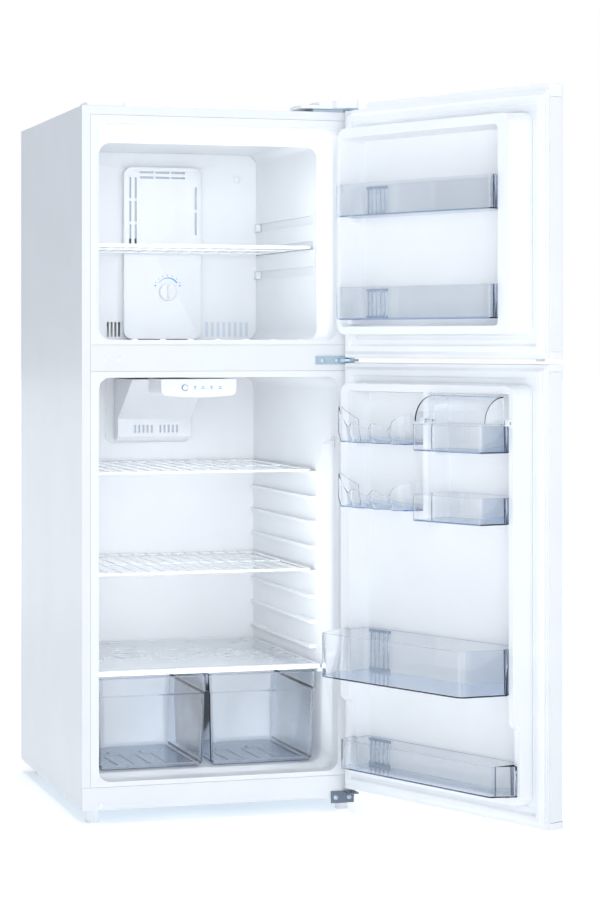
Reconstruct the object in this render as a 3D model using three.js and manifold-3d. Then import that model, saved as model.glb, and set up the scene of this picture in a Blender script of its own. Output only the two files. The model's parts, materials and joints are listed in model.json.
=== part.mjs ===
// Top freezer refrigerator with both doors open, as separate pieces in millimetres, +Z up.
// The cabinet's front faces -Y. The origin is under the front left levelling foot, on the floor.
import * as THREE from 'three';
import { mergeVertices } from 'three/addons/utils/BufferGeometryUtils.js';
import Module from 'manifold-3d';

const wasm = await Module();
wasm.setup();

// ---- Driving dimensions -------------------------------------------------------------------
const CABINET_WIDTH = 600;
const CABINET_DEPTH = 672;
const FOOT_HEIGHT = 28;
const SILL_HEIGHT = 58; // cabinet underside to the fridge opening
const FRIDGE_OPENING = 847.5;
const DIVIDER_HEIGHT = 79.5; // between the two openings
const FREEZER_OPENING = 455;
const HEAD_HEIGHT = 35; // freezer opening to the cabinet's top
const DOOR_ANGLE = 113.3; // degrees that the doors stand open

// ---- Walls, gaps and fits -----------------------------------------------------------------
const GAP = 0.4; // between pieces that touch
const STEEL = 3; // folded sheet and its hem
const LINER = 3; // vacuum formed plastic
const CLEAR = 2.5; // wall of a clear bin or drawer
const SIDE_FRAME = 36.5; // cabinet side to the openings
const FLANGE = 18; // steel seen round the front
const CORNER = 25; // radius of the openings' corners
const BACK_WALL = 52; // foam and panel behind the liners
const WALL_TAPER = 9.5; // liners narrow towards the back on each side
const SILL_PANEL = 47.5; // height of the panel under the fridge opening
const PLATE_EDGE = 13.5; // fridge opening to the divider plate
const DIVIDER_PLATE = 55; // height of the plate between the openings

const HUMP_DEPTH = 242; // compressor space, from the back
const HUMP_HEIGHT = 206; // above the fridge's floor
const HUMP_WALL = 50; // foam over the compressor space

// ---- Heights and planes worked out from them ----------------------------------------------
const bottom = FOOT_HEIGHT;
const fridgeFloor = bottom + SILL_HEIGHT;
const fridgeTop = fridgeFloor + FRIDGE_OPENING;
const freezerFloor = fridgeTop + DIVIDER_HEIGHT;
const freezerTop = freezerFloor + FREEZER_OPENING;
const top = freezerTop + HEAD_HEIGHT;
const left = SIDE_FRAME;
const right = CABINET_WIDTH - SIDE_FRAME;
const middle = CABINET_WIDTH / 2;
const linerBack = CABINET_DEPTH - BACK_WALL;
const humpFront = CABINET_DEPTH - HUMP_DEPTH;
const humpTop = fridgeFloor + HUMP_HEIGHT;

// ---- Doors --------------------------------------------------------------------------------
const DOOR_BACK = 12; // the doors' inner plane, in front of the cabinet
const DOOR_FACE = 56; // the doors' outer face, in front of the cabinet
const PIN_INSET = 12; // hinge axis to the cabinet's right side
const PIN_AHEAD = 25; // hinge axis in front of the cabinet
const PIN_RADIUS = 4;
const PIN_CLEARANCE = 1;
const DOOR_GAP = 10.5; // between the two doors
const DOOR_UNDER = 21.8; // cabinet underside to the lower door
const DOOR_HEAD = 2; // the upper door's shoulder over the cabinet's top
const DOOR_LAP = 30.4; // the lower door's top over the fridge opening
const CAP = 14; // height of the doors' end caps
const CAP_RIDGE = 12; // the upper door's cap stands over its shoulder
const CAP_RELIEF = 62; // stretch left low for the hinge
const SEAL_WIDTH = 22;
const SEAL_INSET = 9;
const SEAL_CLOSED = 1; // from the seal to the cabinet
const RIM_DEPTH_FREEZER = 50; // the liner rims reach this far into the cabinet
const RIM_DEPTH_FRIDGE = 40;
const RIM_LOW = 22; // the fridge rim beside the drawers
const RIM_STEP = 187; // height of that low stretch over the fridge's floor
const RIM_CLEARANCE = 9.5; // rim's far edge to the openings' sides
const RIM_SLOPE = 4;
const RECESS_SLOPE = 8;
const RECESS = 2; // recess floor behind the doors' inner plane, towards the cabinet

// ---- Shelves and drawers ------------------------------------------------------------------
const SHELF_FRONT = 150;
const ROD = 3; // radius of a shelf's front and back rods
const WIRE = 1.7;
const WIRE_PITCH = 32;
const RAIL_TOP_DROP = 211.5; // fridge ceiling to its top rail
const RAIL_PITCH = 54.75;
const RAIL_DEPTH = 7;
const RAIL_HEIGHT = 8;
const LOWER_SHELF_RAIL = 4; // rails below the top one
const GROOVE_PITCH = 56;
const GROOVE_HEIGHT = 19;
const GROOVE_DEPTH = 6;
const GROOVE_FIRST = 144; // freezer floor to its lowest groove
const GROOVES = 3;
const DRAWER_FRONT = 97;
const DRAWER_HEIGHT = 198;
const DRAWER_LIFT = 5; // drawer over the liner's floor
const DRAWER_BAND = 39; // the wider band round a drawer's top
const DRAWER_GAP = 5.5;
const DRAWER_SIDE = 18; // drawer to the opening's side
const COVER_THICKNESS = 10;
const COVER_GAP = 5; // drawer rim to its cover
const GLASS = 3.2;

const root = new THREE.Group();
root.name = 'top_freezer_refrigerator';
const cabinet = new THREE.Group();
root.add(cabinet);

// ---- Finishes -----------------------------------------------------------------------------
const finish = (color, roughness, metalness = 0, opacity = 1) => new THREE.MeshStandardMaterial({
  color,
  roughness,
  metalness,
  opacity,
  transparent: opacity < 1,
});
const painted = finish(0xe9eef4, 0.35, 0.1);
const white = finish(0xf2f6fa, 0.3);
const clear = finish(0xa9bfda, 0.12, 0, 0.45);
const glassy = finish(0xdfeaf2, 0.05, 0, 0.35);
const seal = finish(0xe4eaf1, 0.7);
const steel = finish(0x8494a8, 0.35, 0.9);
const dark = finish(0x2c3038, 0.5, 0.4);
const foamy = finish(0xe6dcae, 0.9);
const wired = finish(0xf4f7fa, 0.3, 0.1);
const copper = finish(0xb87850, 0.35, 0.9);

// ---- Solids -------------------------------------------------------------------------------
function solidOf(geometry) {
  const bare = geometry.clone();
  bare.deleteAttribute('normal');
  bare.deleteAttribute('uv');
  const merged = mergeVertices(bare, 1e-4);
  const index = merged.index.array;
  const kept = [];
  for (let i = 0; i < index.length; i += 3) {
    const [a, b, c] = [index[i], index[i + 1], index[i + 2]];
    if (a !== b && b !== c && c !== a) kept.push(a, b, c);
  }
  return new wasm.Manifold(new wasm.Mesh({
    numProp: 3,
    vertProperties: new Float32Array(merged.attributes.position.array),
    triVerts: new Uint32Array(kept),
  }));
}

function geometryOf(solid) {
  const mesh = solid.getMesh();
  const geometry = new THREE.BufferGeometry();
  geometry.setAttribute('position', new THREE.BufferAttribute(mesh.vertProperties, 3));
  geometry.setIndex(new THREE.BufferAttribute(mesh.triVerts, 1));
  geometry.computeVertexNormals();
  return geometry;
}

function piece(name, solid, material, group = cabinet) {
  const mesh = new THREE.Mesh(geometryOf(solid), material);
  mesh.name = name;
  group.add(mesh);
  return mesh;
}

const block = (x0, x1, y0, y1, z0, z1) => solidOf(
  new THREE.BoxGeometry(x1 - x0, y1 - y0, z1 - z0)
    .translate((x0 + x1) / 2, (y0 + y1) / 2, (z0 + z1) / 2),
);

// The turns that lay an outline drawn in a plane across one axis.
const LAY = {
  x: new THREE.Matrix4().makeBasis(
    new THREE.Vector3(0, 1, 0), new THREE.Vector3(0, 0, 1), new THREE.Vector3(1, 0, 0)),
  y: new THREE.Matrix4().makeBasis(
    new THREE.Vector3(1, 0, 0), new THREE.Vector3(0, 0, 1), new THREE.Vector3(0, -1, 0)),
  z: new THREE.Matrix4(),
};

// Extrudes an outline along an axis, from low to high. The outline's two coordinates are
// (y, z) across x, (x, z) across y and (x, y) across z.
function slab(axis, low, high, shape, curveSegments = 4) {
  const depth = high - low;
  const geometry = new THREE.ExtrudeGeometry(shape, { depth, bevelEnabled: false, curveSegments });
  geometry.translate(0, 0, axis === 'y' ? -high : low);
  return solidOf(geometry.applyMatrix4(LAY[axis]));
}

function outline(points) {
  return new THREE.Shape(points.map(([a, b]) => new THREE.Vector2(a, b)));
}

function roundedBox(a0, a1, b0, b1, radius) {
  const shape = new THREE.Shape();
  shape.moveTo(a0 + radius, b0);
  shape.lineTo(a1 - radius, b0);
  shape.absarc(a1 - radius, b0 + radius, radius, -Math.PI / 2, 0, false);
  shape.lineTo(a1, b1 - radius);
  shape.absarc(a1 - radius, b1 - radius, radius, 0, Math.PI / 2, false);
  shape.lineTo(a0 + radius, b1);
  shape.absarc(a0 + radius, b1 - radius, radius, Math.PI / 2, Math.PI, false);
  shape.lineTo(a0, b0 + radius);
  shape.absarc(a0 + radius, b0 + radius, radius, Math.PI, 1.5 * Math.PI, false);
  return shape;
}

// Skins a stack of rounded rectangles along an axis: each ring is { at, a0, a1, b0, b1, r }.
function loft(axis, rings, corner = 4) {
  const loops = rings.map(({ at, a0, a1, b0, b1, r }) => {
    const flat = roundedBox(a0, a1, b0, b1, r).getPoints(corner).slice(0, -1);
    return flat.map((p) => new THREE.Vector3(p.x, p.y, axis === 'y' ? -at : at)
      .applyMatrix4(LAY[axis]));
  });
  const count = loops[0].length;
  const last = (loops.length - 1) * count;
  const triangles = [];
  for (let k = 0; k < last; k += count) {
    for (let i = 0; i < count; i += 1) {
      const j = (i + 1) % count;
      triangles.push([k + i, k + j, k + count + j], [k + i, k + count + j, k + count + i]);
    }
  }
  for (let i = 1; i + 1 < count; i += 1) {
    triangles.push([0, i + 1, i], [last, last + i, last + i + 1]);
  }
  const rising = rings[0].at < rings[rings.length - 1].at;
  const turned = triangles.map(([a, b, c]) => ((axis === 'y') === rising ? [a, c, b] : [a, b, c]));
  const geometry = new THREE.BufferGeometry().setFromPoints(loops.flat());
  geometry.setIndex(turned.flat());
  return solidOf(geometry);
}

// A rounded bar between two points.
function rod(from, to, radius, sides = 8) {
  const a = new THREE.Vector3(...from);
  const b = new THREE.Vector3(...to);
  const along = b.clone().sub(a);
  const geometry = new THREE.CylinderGeometry(radius, radius, along.length(), sides);
  const turn = new THREE.Quaternion()
    .setFromUnitVectors(new THREE.Vector3(0, 1, 0), along.clone().normalize());
  geometry.applyQuaternion(turn);
  geometry.translate(...a.add(b).multiplyScalar(0.5).toArray());
  return solidOf(geometry);
}

const union = (solids) => solids.reduce((sum, next) => sum.add(next));
const without = (solid, cuts) => cuts.reduce((rest, cut) => rest.subtract(cut), solid);

// ---- Cabinet: steel and plastic -----------------------------------------------------------
function cabinetShell() {
  const wide = outline([
    [0, bottom], [STEEL, bottom], [STEEL, top - STEEL], [CABINET_WIDTH - STEEL, top - STEEL],
    [CABINET_WIDTH - STEEL, bottom], [CABINET_WIDTH, bottom], [CABINET_WIDTH, top], [0, top],
  ]);
  const lip = outline([
    [0, bottom + SILL_PANEL + GAP], [FLANGE, bottom + SILL_PANEL + GAP], [FLANGE, top - FLANGE],
    [CABINET_WIDTH - FLANGE, top - FLANGE], [CABINET_WIDTH - FLANGE, bottom + SILL_PANEL + GAP],
    [CABINET_WIDTH, bottom + SILL_PANEL + GAP], [CABINET_WIDTH, top], [0, top],
  ]);
  const sides = slab('y', STEEL + GAP, CABINET_DEPTH, wide);
  const front = slab('y', 0, STEEL + 2 * GAP, lip);
  piece('cabinet_shell', sides.add(front), painted);
  piece('rear_panel', block(
    STEEL + GAP, CABINET_WIDTH - STEEL - GAP, CABINET_DEPTH - STEEL, CABINET_DEPTH,
    humpTop - HUMP_WALL, top - STEEL - GAP), painted);
}

function sillAndDivider() {
  piece('sill_panel', block(
    GAP, CABINET_WIDTH - GAP, 0, STEEL, bottom, bottom + SILL_PANEL), painted);
  const low = fridgeTop + PLATE_EDGE;
  piece('divider_plate', block(
    FLANGE + GAP, CABINET_WIDTH - FLANGE - GAP, 0, STEEL, low, low + DIVIDER_PLATE), painted);
}

// The rings of a cavity: mouth, then straight back with the walls' taper.
const cavityRing = (at, inset, floor, ceiling, grow, drop = inset, low = inset * 0.2) => ({
  at,
  a0: left + inset - grow,
  a1: right - inset + grow,
  b0: floor + low - grow,
  b1: ceiling - drop + grow,
  r: CORNER + grow,
});

function fridgeCavity(grow, frontAt) {
  const tail = grow ? linerBack + grow : linerBack;
  const bulk = loft('y', [
    cavityRing(frontAt, 0, fridgeFloor, fridgeTop, grow),
    cavityRing(tail, WALL_TAPER, fridgeFloor, fridgeTop, grow),
  ]);
  const hump = block(0, CABINET_WIDTH, humpFront + grow, CABINET_DEPTH, bottom, humpTop - grow);
  return bulk.subtract(hump);
}

const railTops = [];
const coverLow = fridgeFloor + DRAWER_LIFT + DRAWER_HEIGHT + COVER_GAP;
const coverTop = coverLow + COVER_THICKNESS;
for (let z = fridgeTop - RAIL_TOP_DROP; z - RAIL_HEIGHT > coverTop + 2 * RAIL_HEIGHT; z -= RAIL_PITCH) {
  railTops.push(z);
}

const wallAt = (y) => left + WALL_TAPER * (y / linerBack);

const SWITCH_DROP = 142; // fridge ceiling to the door switch
const SWITCH_AT = 32; // behind the cabinet's front
const SWITCH_SIZE = 8;
const PLUNGER_OUT = 20;
const switchZ = fridgeTop - SWITCH_DROP;
const switchWall = CABINET_WIDTH - wallAt(SWITCH_AT + 8) - 0.6;

function sideLedge(low, high, from, to) {
  const inner = wallAt(to) + RAIL_DEPTH;
  return union([
    block(wallAt(from) - LINER / 2, inner, from, to, low, high),
    block(CABINET_WIDTH - inner, CABINET_WIDTH - wallAt(from) + LINER / 2, from, to, low, high),
  ]);
}

// The flat frame of a liner round its opening, behind the doors' seals.
function linerFrame(low, high) {
  return block(FLANGE + GAP, CABINET_WIDTH - FLANGE - GAP, 0, STEEL, low, high);
}

function switchPocket(clearance, depth) {
  const half = SWITCH_SIZE / 2 + clearance;
  return block(switchWall - 4, switchWall + depth, SWITCH_AT - half, SWITCH_AT + half,
    switchZ - half, switchZ + half);
}

function fridgeLiner() {
  const frame = linerFrame(bottom + SILL_PANEL + GAP, fridgeTop + PLATE_EDGE - GAP);
  const skin = fridgeCavity(LINER, 0);
  const rails = railTops.map((z) => sideLedge(z - RAIL_HEIGHT, z, SHELF_FRONT, linerBack));
  const coverRail = sideLedge(
    coverLow - GAP - RAIL_HEIGHT, coverLow - GAP, DRAWER_FRONT + 8, humpFront + LINER);
  const shell = frame.add(skin).subtract(fridgeCavity(0, -1));
  const ledges = union([...rails, coverRail]).intersect(skin);
  piece('fridge_liner', shell.add(ledges).subtract(switchPocket(2, 8)), white);
}

const MOUTH_DEPTH = 66; // straight walls that the door's rim enters
const BEAD_AT = 90; // middle of the raised bead behind it
const BEAD = 20;
const BEAD_DROP = 34;
const INNER = 13; // walls behind the bead
const INNER_DROP = 16;
const grooveFloors = Array.from(
  { length: GROOVES }, (_, i) => freezerFloor + GROOVE_FIRST + i * GROOVE_PITCH);

function freezerCavity(grow, frontAt) {
  const ring = (at, inset, drop) => cavityRing(at, inset, freezerFloor, freezerTop, grow, drop, 0);
  const bulk = loft('y', [
    ring(frontAt, 0, 0), ring(MOUTH_DEPTH + grow, 1, 2), ring(BEAD_AT - 10 + grow, BEAD - 4, BEAD_DROP - 5),
    ring(BEAD_AT, BEAD, BEAD_DROP), ring(BEAD_AT + 12 - grow, BEAD - 4, BEAD_DROP - 5),
    ring(BEAD_AT + 22 - grow, INNER, INNER_DROP), ring(linerBack + grow, INNER, INNER_DROP),
  ]);
  const side = left + INNER;
  const deep = GROOVE_DEPTH + grow;
  const grooves = grooveFloors.flatMap((z) => [
    [side - deep, side + 1], [CABINET_WIDTH - side - 1, CABINET_WIDTH - side + deep],
  ].map(([x0, x1]) => block(x0, x1, SHELF_FRONT - 14 - grow, linerBack - 20 + grow, z - grow,
    z + GROOVE_HEIGHT + grow)));
  return union([bulk, ...grooves]);
}

function freezerLiner() {
  const frame = linerFrame(fridgeTop + PLATE_EDGE + DIVIDER_PLATE + GAP, top - FLANGE - GAP);
  const shell = frame.add(freezerCavity(LINER, 0));
  piece('freezer_liner', shell.subtract(freezerCavity(0, -1)), white);
}

function cabinetFoam() {
  const edge = STEEL + GAP;
  const bulk = block(edge, CABINET_WIDTH - edge, edge + 2 * GAP, CABINET_DEPTH - edge,
    bottom + BASE_PAN + GAP, top - edge);
  const niche = block(0, CABINET_WIDTH, humpFront + HUMP_WALL, CABINET_DEPTH, 0,
    humpTop - HUMP_WALL - GAP);
  const spaces = [fridgeCavity(LINER + GAP, 0), freezerCavity(LINER + GAP, 0)];
  piece('cabinet_foam', without(bulk, [...spaces, niche, footWay(1), switchPocket(2, 26)]), foamy);
}

// ---- Base, feet and rollers ---------------------------------------------------------------
const BASE_PAN = 2;
const FOOT_X = 25;
const FOOT_Y = 16;
const FOOT_RADIUS = 14;
const STUD_RADIUS = 5;
const STUD_LENGTH = 26;
const ROLLER_RADIUS = 17;
const ROLLER_WIDTH = 22;
const ROLLER_X = 40;
const ROLLER_Y = CABINET_DEPTH - 38;

const footPlaces = [['front_left', FOOT_X], ['front_right', CABINET_WIDTH - FOOT_X]];
const rollerPlaces = [['rear_left', ROLLER_X], ['rear_right', CABINET_WIDTH - ROLLER_X]];

function footWay(clearance) {
  const reach = bottom - 1;
  return union(footPlaces.map(([, x]) => rod(
    [x, FOOT_Y, reach], [x, FOOT_Y, bottom + STUD_LENGTH + 2 + clearance], STUD_RADIUS + clearance)));
}

function basePan() {
  const width = CABINET_WIDTH - STEEL - GAP;
  const flat = block(
    STEEL + GAP, width, STEEL + GAP, CABINET_DEPTH - GAP, bottom, bottom + BASE_PAN);
  const cheeks = rollerPlaces.flatMap(([, x]) => [-1, 1].map((side) => {
    const inner = x + side * (ROLLER_WIDTH / 2 + 2);
    const [x0, x1] = [Math.min(inner, inner + side * 3), Math.max(inner, inner + side * 3)];
    return block(x0, x1, ROLLER_Y - 22, ROLLER_Y + 22, ROLLER_RADIUS - 8, bottom + 1);
  }));
  const ways = rollerPlaces.map(([, x]) => block(
    x - ROLLER_WIDTH / 2 - 2, x + ROLLER_WIDTH / 2 + 2, ROLLER_Y - 20, ROLLER_Y + 20,
    bottom - 1, bottom + BASE_PAN + 1));
  const axleHoles = rollerPlaces.map(([, x]) => rod(
    [x - ROLLER_WIDTH, ROLLER_Y, ROLLER_RADIUS], [x + ROLLER_WIDTH, ROLLER_Y, ROLLER_RADIUS], 3.6));
  piece('base_pan', without(union([flat, ...cheeks]), [...ways, ...axleHoles, footWay(0.5)]), steel);
}

function feetAndRollers() {
  footPlaces.forEach(([side, x]) => {
    const pad = rod([x, FOOT_Y, 0], [x, FOOT_Y, bottom - 1], FOOT_RADIUS, 16);
    const stud = rod([x, FOOT_Y, bottom - 2], [x, FOOT_Y, bottom + STUD_LENGTH], STUD_RADIUS);
    piece(`levelling_foot_${side}`, pad.add(stud), white);
  });
  rollerPlaces.forEach(([side, x]) => {
    const half = ROLLER_WIDTH / 2;
    const wheel = rod([x - half, ROLLER_Y, ROLLER_RADIUS], [x + half, ROLLER_Y, ROLLER_RADIUS],
      ROLLER_RADIUS, 20);
    const axle = rod([x - half - 4, ROLLER_Y, ROLLER_RADIUS], [x + half + 4, ROLLER_Y, ROLLER_RADIUS],
      3, 8);
    piece(`roller_${side}`, wheel.add(axle), dark);
  });
}

// ---- Cooling parts ------------------------------------------------------------------------
const COMPRESSOR_RADIUS = 66;
const COMPRESSOR_X = 400;
const COMPRESSOR_FEET = 14;
const PAN_WALL = 2.5;

function machineSpace() {
  const y = (humpFront + HUMP_WALL + CABINET_DEPTH) / 2;
  const z = bottom + BASE_PAN + COMPRESSOR_FEET;
  const profile = [
    [0, 0], [COMPRESSOR_RADIUS * 0.8, 4], [COMPRESSOR_RADIUS, 26], [COMPRESSOR_RADIUS, 66],
    [COMPRESSOR_RADIUS + 3, 70], [COMPRESSOR_RADIUS, 74], [COMPRESSOR_RADIUS * 0.82, 98],
    [COMPRESSOR_RADIUS * 0.4, 108], [0, 110],
  ].map(([r, h]) => new THREE.Vector2(r, h));
  const can = solidOf(new THREE.LatheGeometry(profile, 20).rotateX(Math.PI / 2)
    .translate(COMPRESSOR_X, y, z));
  const feet = [-1, 1].flatMap((i) => [-1, 1].map((j) => rod(
    [COMPRESSOR_X + i * 62, y + j * 48, bottom + BASE_PAN + GAP],
    [COMPRESSOR_X + i * 62, y + j * 48, z + 6], 9)));
  const saddle = block(COMPRESSOR_X - 74, COMPRESSOR_X + 74, y - 58, y + 58, z + 2, z + 6);
  piece('compressor', union([can, saddle, ...feet]), dark);

  const panLow = z + 110 + 3;
  const trough = (grow, up) => loft('z', [
    { at: panLow + grow, a0: 300 + grow, a1: 500 - grow, b0: y - 60 + grow, b1: y + 60 - grow, r: 12 - grow },
    {
      at: panLow + 24 + up,
      a0: 296 + grow,
      a1: 504 - grow,
      b0: y - 64 + grow,
      b1: y + 64 - grow,
      r: 12 - grow,
    },
  ], 3);
  piece('drain_pan', trough(0, 0).subtract(trough(PAN_WALL, 0.1)), white);

  const start = new THREE.Vector3(COMPRESSOR_X - COMPRESSOR_RADIUS - 5, y, z + 50);
  const line = new THREE.CatmullRomCurve3([
    start, start.clone().add(new THREE.Vector3(-50, 10, 10)),
    start.clone().add(new THREE.Vector3(-130, 30, 4)), start.clone().add(new THREE.Vector3(-160, 34, 50)),
  ]);
  const round = new THREE.Shape().absarc(0, 0, 4, 0, 2 * Math.PI, false);
  const pipe = new THREE.ExtrudeGeometry(round, { steps: 16, extrudePath: line, curveSegments: 4 });
  piece('refrigerant_pipe', solidOf(pipe), copper);

  const glandX = 90;
  const gland = rod([glandX, CABINET_DEPTH - 30, bottom + BASE_PAN + GAP + 1],
    [glandX, CABINET_DEPTH - 30, bottom + BASE_PAN + 26], 11, 12);
  const foot = block(glandX - 18, glandX + 18, CABINET_DEPTH - 46, CABINET_DEPTH - 14,
    bottom + BASE_PAN + GAP, bottom + BASE_PAN + 5);
  const hole = rod([glandX, CABINET_DEPTH - 30, bottom], [glandX, CABINET_DEPTH - 30, bottom + 60], 5, 10);
  piece('cord_gland', union([gland, foot]).subtract(hole), dark);
}

// ---- Freezer interior ---------------------------------------------------------------------
const COVER_FACE = 37; // liner's back to the rear cover's face
const PANEL_PROUD = 24; // the raised panel stands out of the cover
const PANEL_SHIFT = 14.5; // the panel stands right of the middle
const PANEL_WIDTH = 185;
const PANEL_DROP = 51; // freezer ceiling to the raised panel
const KNOB_UP = 113;
const KNOB_RADIUS = 21;
const KNOB_DEPTH = 9;
const KNOB_SHIFT = 12;
const FAN_DROP = 138;
const FAN_RADIUS = 46;

const coverFace = linerBack - COVER_FACE;
const panelFace = coverFace - PANEL_PROUD;
const panelMiddle = middle + PANEL_SHIFT;
const panelLeft = panelMiddle - PANEL_WIDTH / 2;
const fanZ = freezerTop - FAN_DROP;
const knobZ = freezerFloor + KNOB_UP;
const knobX = panelMiddle + KNOB_SHIFT;

// A row of slots cut through a wall that faces the front.
function slots(count, x0, pitchX, z0, pitchZ, width, height, y0, y1) {
  return union(Array.from({ length: count }, (_, i) => block(
    x0 + i * pitchX, x0 + i * pitchX + width, y0, y1, z0 + i * pitchZ, z0 + i * pitchZ + height)));
}

function freezerRearCover() {
  const side = left + INNER + 1;
  const plate = slab('y', coverFace, coverFace + CLEAR, roundedBox(
    side, CABINET_WIDTH - side, freezerFloor + 2, freezerTop - INNER_DROP - 1, CORNER - 1));
  const panel = (inset, back) => slab('y', panelFace + inset, coverFace + back, roundedBox(
    panelLeft + inset, panelLeft + PANEL_WIDTH - inset, freezerFloor + 2.5 + inset,
    freezerTop - PANEL_DROP - inset, 20 - inset));
  const shell = union([plate, panel(0, 1)]).subtract(panel(CLEAR, CLEAR + 1));
  const through = [panelFace - 1, panelFace + CLEAR + 1];
  const flat = [coverFace - 1, coverFace + CLEAR + 1];
  const topSlots = [0, 1].map((row) => slots(
    3, panelMiddle - 55, 38, freezerTop - PANEL_DROP - 14 - row * 12, 0, 33, 5, ...through));
  const leftSlots = [0, 1].map((column) => slots(
    3, panelLeft + 12 + column * 13, 0, fanZ - 95, 55, 5, 48, ...through));
  const rightSlots = slots(2, panelLeft + PANEL_WIDTH - 15, 0, fanZ - 70, 60, 5, 52, ...through);
  const returnLeft = slots(4, panelLeft - 36, 9, freezerFloor + 8, 0, 5, 34, ...flat);
  const returnRight = slots(8, right - 139, 14, freezerFloor + 8, 0, 7, 34, ...flat);
  const shaft = rod([knobX, panelFace - 1, knobZ], [knobX, coverFace, knobZ], 5.5, 10);
  const cuts = [...topSlots, ...leftSlots, rightSlots, returnLeft, returnRight, shaft];
  piece('freezer_rear_cover', without(shell, cuts), white);
}

function freezerKnob() {
  const face = rod([knobX, panelFace - KNOB_DEPTH, knobZ], [knobX, panelFace - GAP, knobZ],
    KNOB_RADIUS, 24);
  const grip = block(knobX - 3, knobX + 3, panelFace - KNOB_DEPTH - 6,
    panelFace - KNOB_DEPTH + 1, knobZ - KNOB_RADIUS + 4, knobZ + KNOB_RADIUS - 4);
  const shaft = rod([knobX, panelFace - 1, knobZ], [knobX, panelFace + 14, knobZ], 4, 8);
  piece('freezer_temperature_knob', union([face, grip, shaft]), white);
}

function evaporatorAndFan() {
  const back = linerBack - 3;
  const front = coverFace + CLEAR + 3;
  const low = freezerFloor + 60;
  const pitch = (right - left - 103) / 11;
  const fins = Array.from({ length: 12 }, (_, i) => block(
    left + 50 + i * pitch, left + 53 + i * pitch, front + 2, back, low, low + 130));
  const tubeY = (front + back) / 2 + 1;
  const tubes = [25, 105].map((h) => rod(
    [left + 44, tubeY, low + h], [right - 44, tubeY, low + h], 5, 6));
  piece('evaporator', union([...fins, ...tubes]), steel);

  const motor = rod([panelMiddle, coverFace + 4, fanZ], [panelMiddle, linerBack - 6, fanZ], 24, 14);
  const bracket = block(panelMiddle - 60, panelMiddle + 60, linerBack - 7, linerBack - 3,
    fanZ - 10, fanZ + 10);
  const bore = rod([panelMiddle, coverFace, fanZ], [panelMiddle, coverFace + 16, fanZ], 3, 8);
  piece('fan_motor', union([motor, bracket]).subtract(bore), dark);

  const fanFront = panelFace + CLEAR + 3;
  const hub = rod([panelMiddle, fanFront, fanZ], [panelMiddle, fanFront + 14, fanZ], 13, 12);
  const axle = rod([panelMiddle, fanFront + 8, fanZ], [panelMiddle, coverFace + 14, fanZ], 2.4, 8);
  const blades = Array.from({ length: 4 }, (_, i) => {
    const blade = new THREE.BoxGeometry(FAN_RADIUS - 8, 1.8, 26);
    blade.rotateX(0.42);
    blade.translate((FAN_RADIUS + 8) / 2, 0, 0);
    blade.rotateY((i * Math.PI) / 2 + 0.4);
    blade.translate(panelMiddle, fanFront + 7, fanZ);
    return solidOf(blade);
  });
  piece('fan_blade', union([hub, axle, ...blades]), dark);
}

// ---- Wire shelves -------------------------------------------------------------------------
// x0 and x1 are the rods' outer edges, z the middle of the front rod.
function wireShelf(name, x0, x1, back, z, frontRadius) {
  const front = SHELF_FRONT;
  const rods = [
    rod([x0 + 1, front, z], [x1 - 1, front, z], frontRadius, 8),
    rod([x0 + 1, back, z], [x1 - 1, back, z], ROD, 6),
    rod([x0 + ROD, front, z], [x0 + ROD, back, z], ROD, 6),
    rod([x1 - ROD, front, z], [x1 - ROD, back, z], ROD, 6),
  ];
  const count = Math.floor((x1 - x0 - WIRE_PITCH) / WIRE_PITCH);
  const first = (x0 + x1 - (count - 1) * WIRE_PITCH) / 2;
  for (let i = 0; i < count; i += 1) {
    const x = first + i * WIRE_PITCH;
    rods.push(rod([x, front, z + 1], [x, back, z + 1], WIRE, 4));
  }
  piece(name, union(rods), wired);
}

function shelves() {
  const fridgeEdge = wallAt(linerBack) + 1;
  const fridgeBack = linerBack - 8;
  [['fridge_shelf_upper', 0], ['fridge_shelf_lower', LOWER_SHELF_RAIL]].forEach(([name, rail]) => {
    const z = railTops[Math.min(rail, railTops.length - 1)] + ROD + GAP;
    wireShelf(name, fridgeEdge, CABINET_WIDTH - fridgeEdge, fridgeBack, z, ROD);
  });
  const freezerEdge = left + INNER - GROOVE_DEPTH + 1.5;
  const z = grooveFloors[1] + 4 + GAP;
  wireShelf('freezer_shelf', freezerEdge, CABINET_WIDTH - freezerEdge, panelFace - 12, z, 4);
}

// ---- Drawers and their cover --------------------------------------------------------------
const drawerFloor = fridgeFloor + DRAWER_LIFT;
const drawerRim = drawerFloor + DRAWER_HEIGHT;
const drawerBack = humpFront - 6;
const drawerWidth = (right - left - 2 * DRAWER_SIDE - DRAWER_GAP) / 2;
const drawerLefts = [['left', left + DRAWER_SIDE], ['right', left + DRAWER_SIDE + drawerWidth + DRAWER_GAP]];

function drawer(name, x0) {
  const hull = (wall, lift) => {
    const ring = (at, inset, r) => ({
      at,
      a0: x0 + inset + wall,
      a1: x0 + drawerWidth - inset - wall,
      b0: DRAWER_FRONT + inset + wall,
      b1: drawerBack - inset - wall,
      r: r - wall,
    });
    return loft('z', [
      ring(drawerFloor + wall, 12, 10), ring(drawerFloor + 8 + wall, 6, 14),
      ring(drawerRim - DRAWER_BAND - 2, 3, 14), ring(drawerRim - DRAWER_BAND + 2, 0, 14),
      ring(drawerRim + lift, 0, 14),
    ], 3);
  };
  piece(name, hull(0, 0).subtract(hull(CLEAR, 1)), clear);
}

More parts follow.
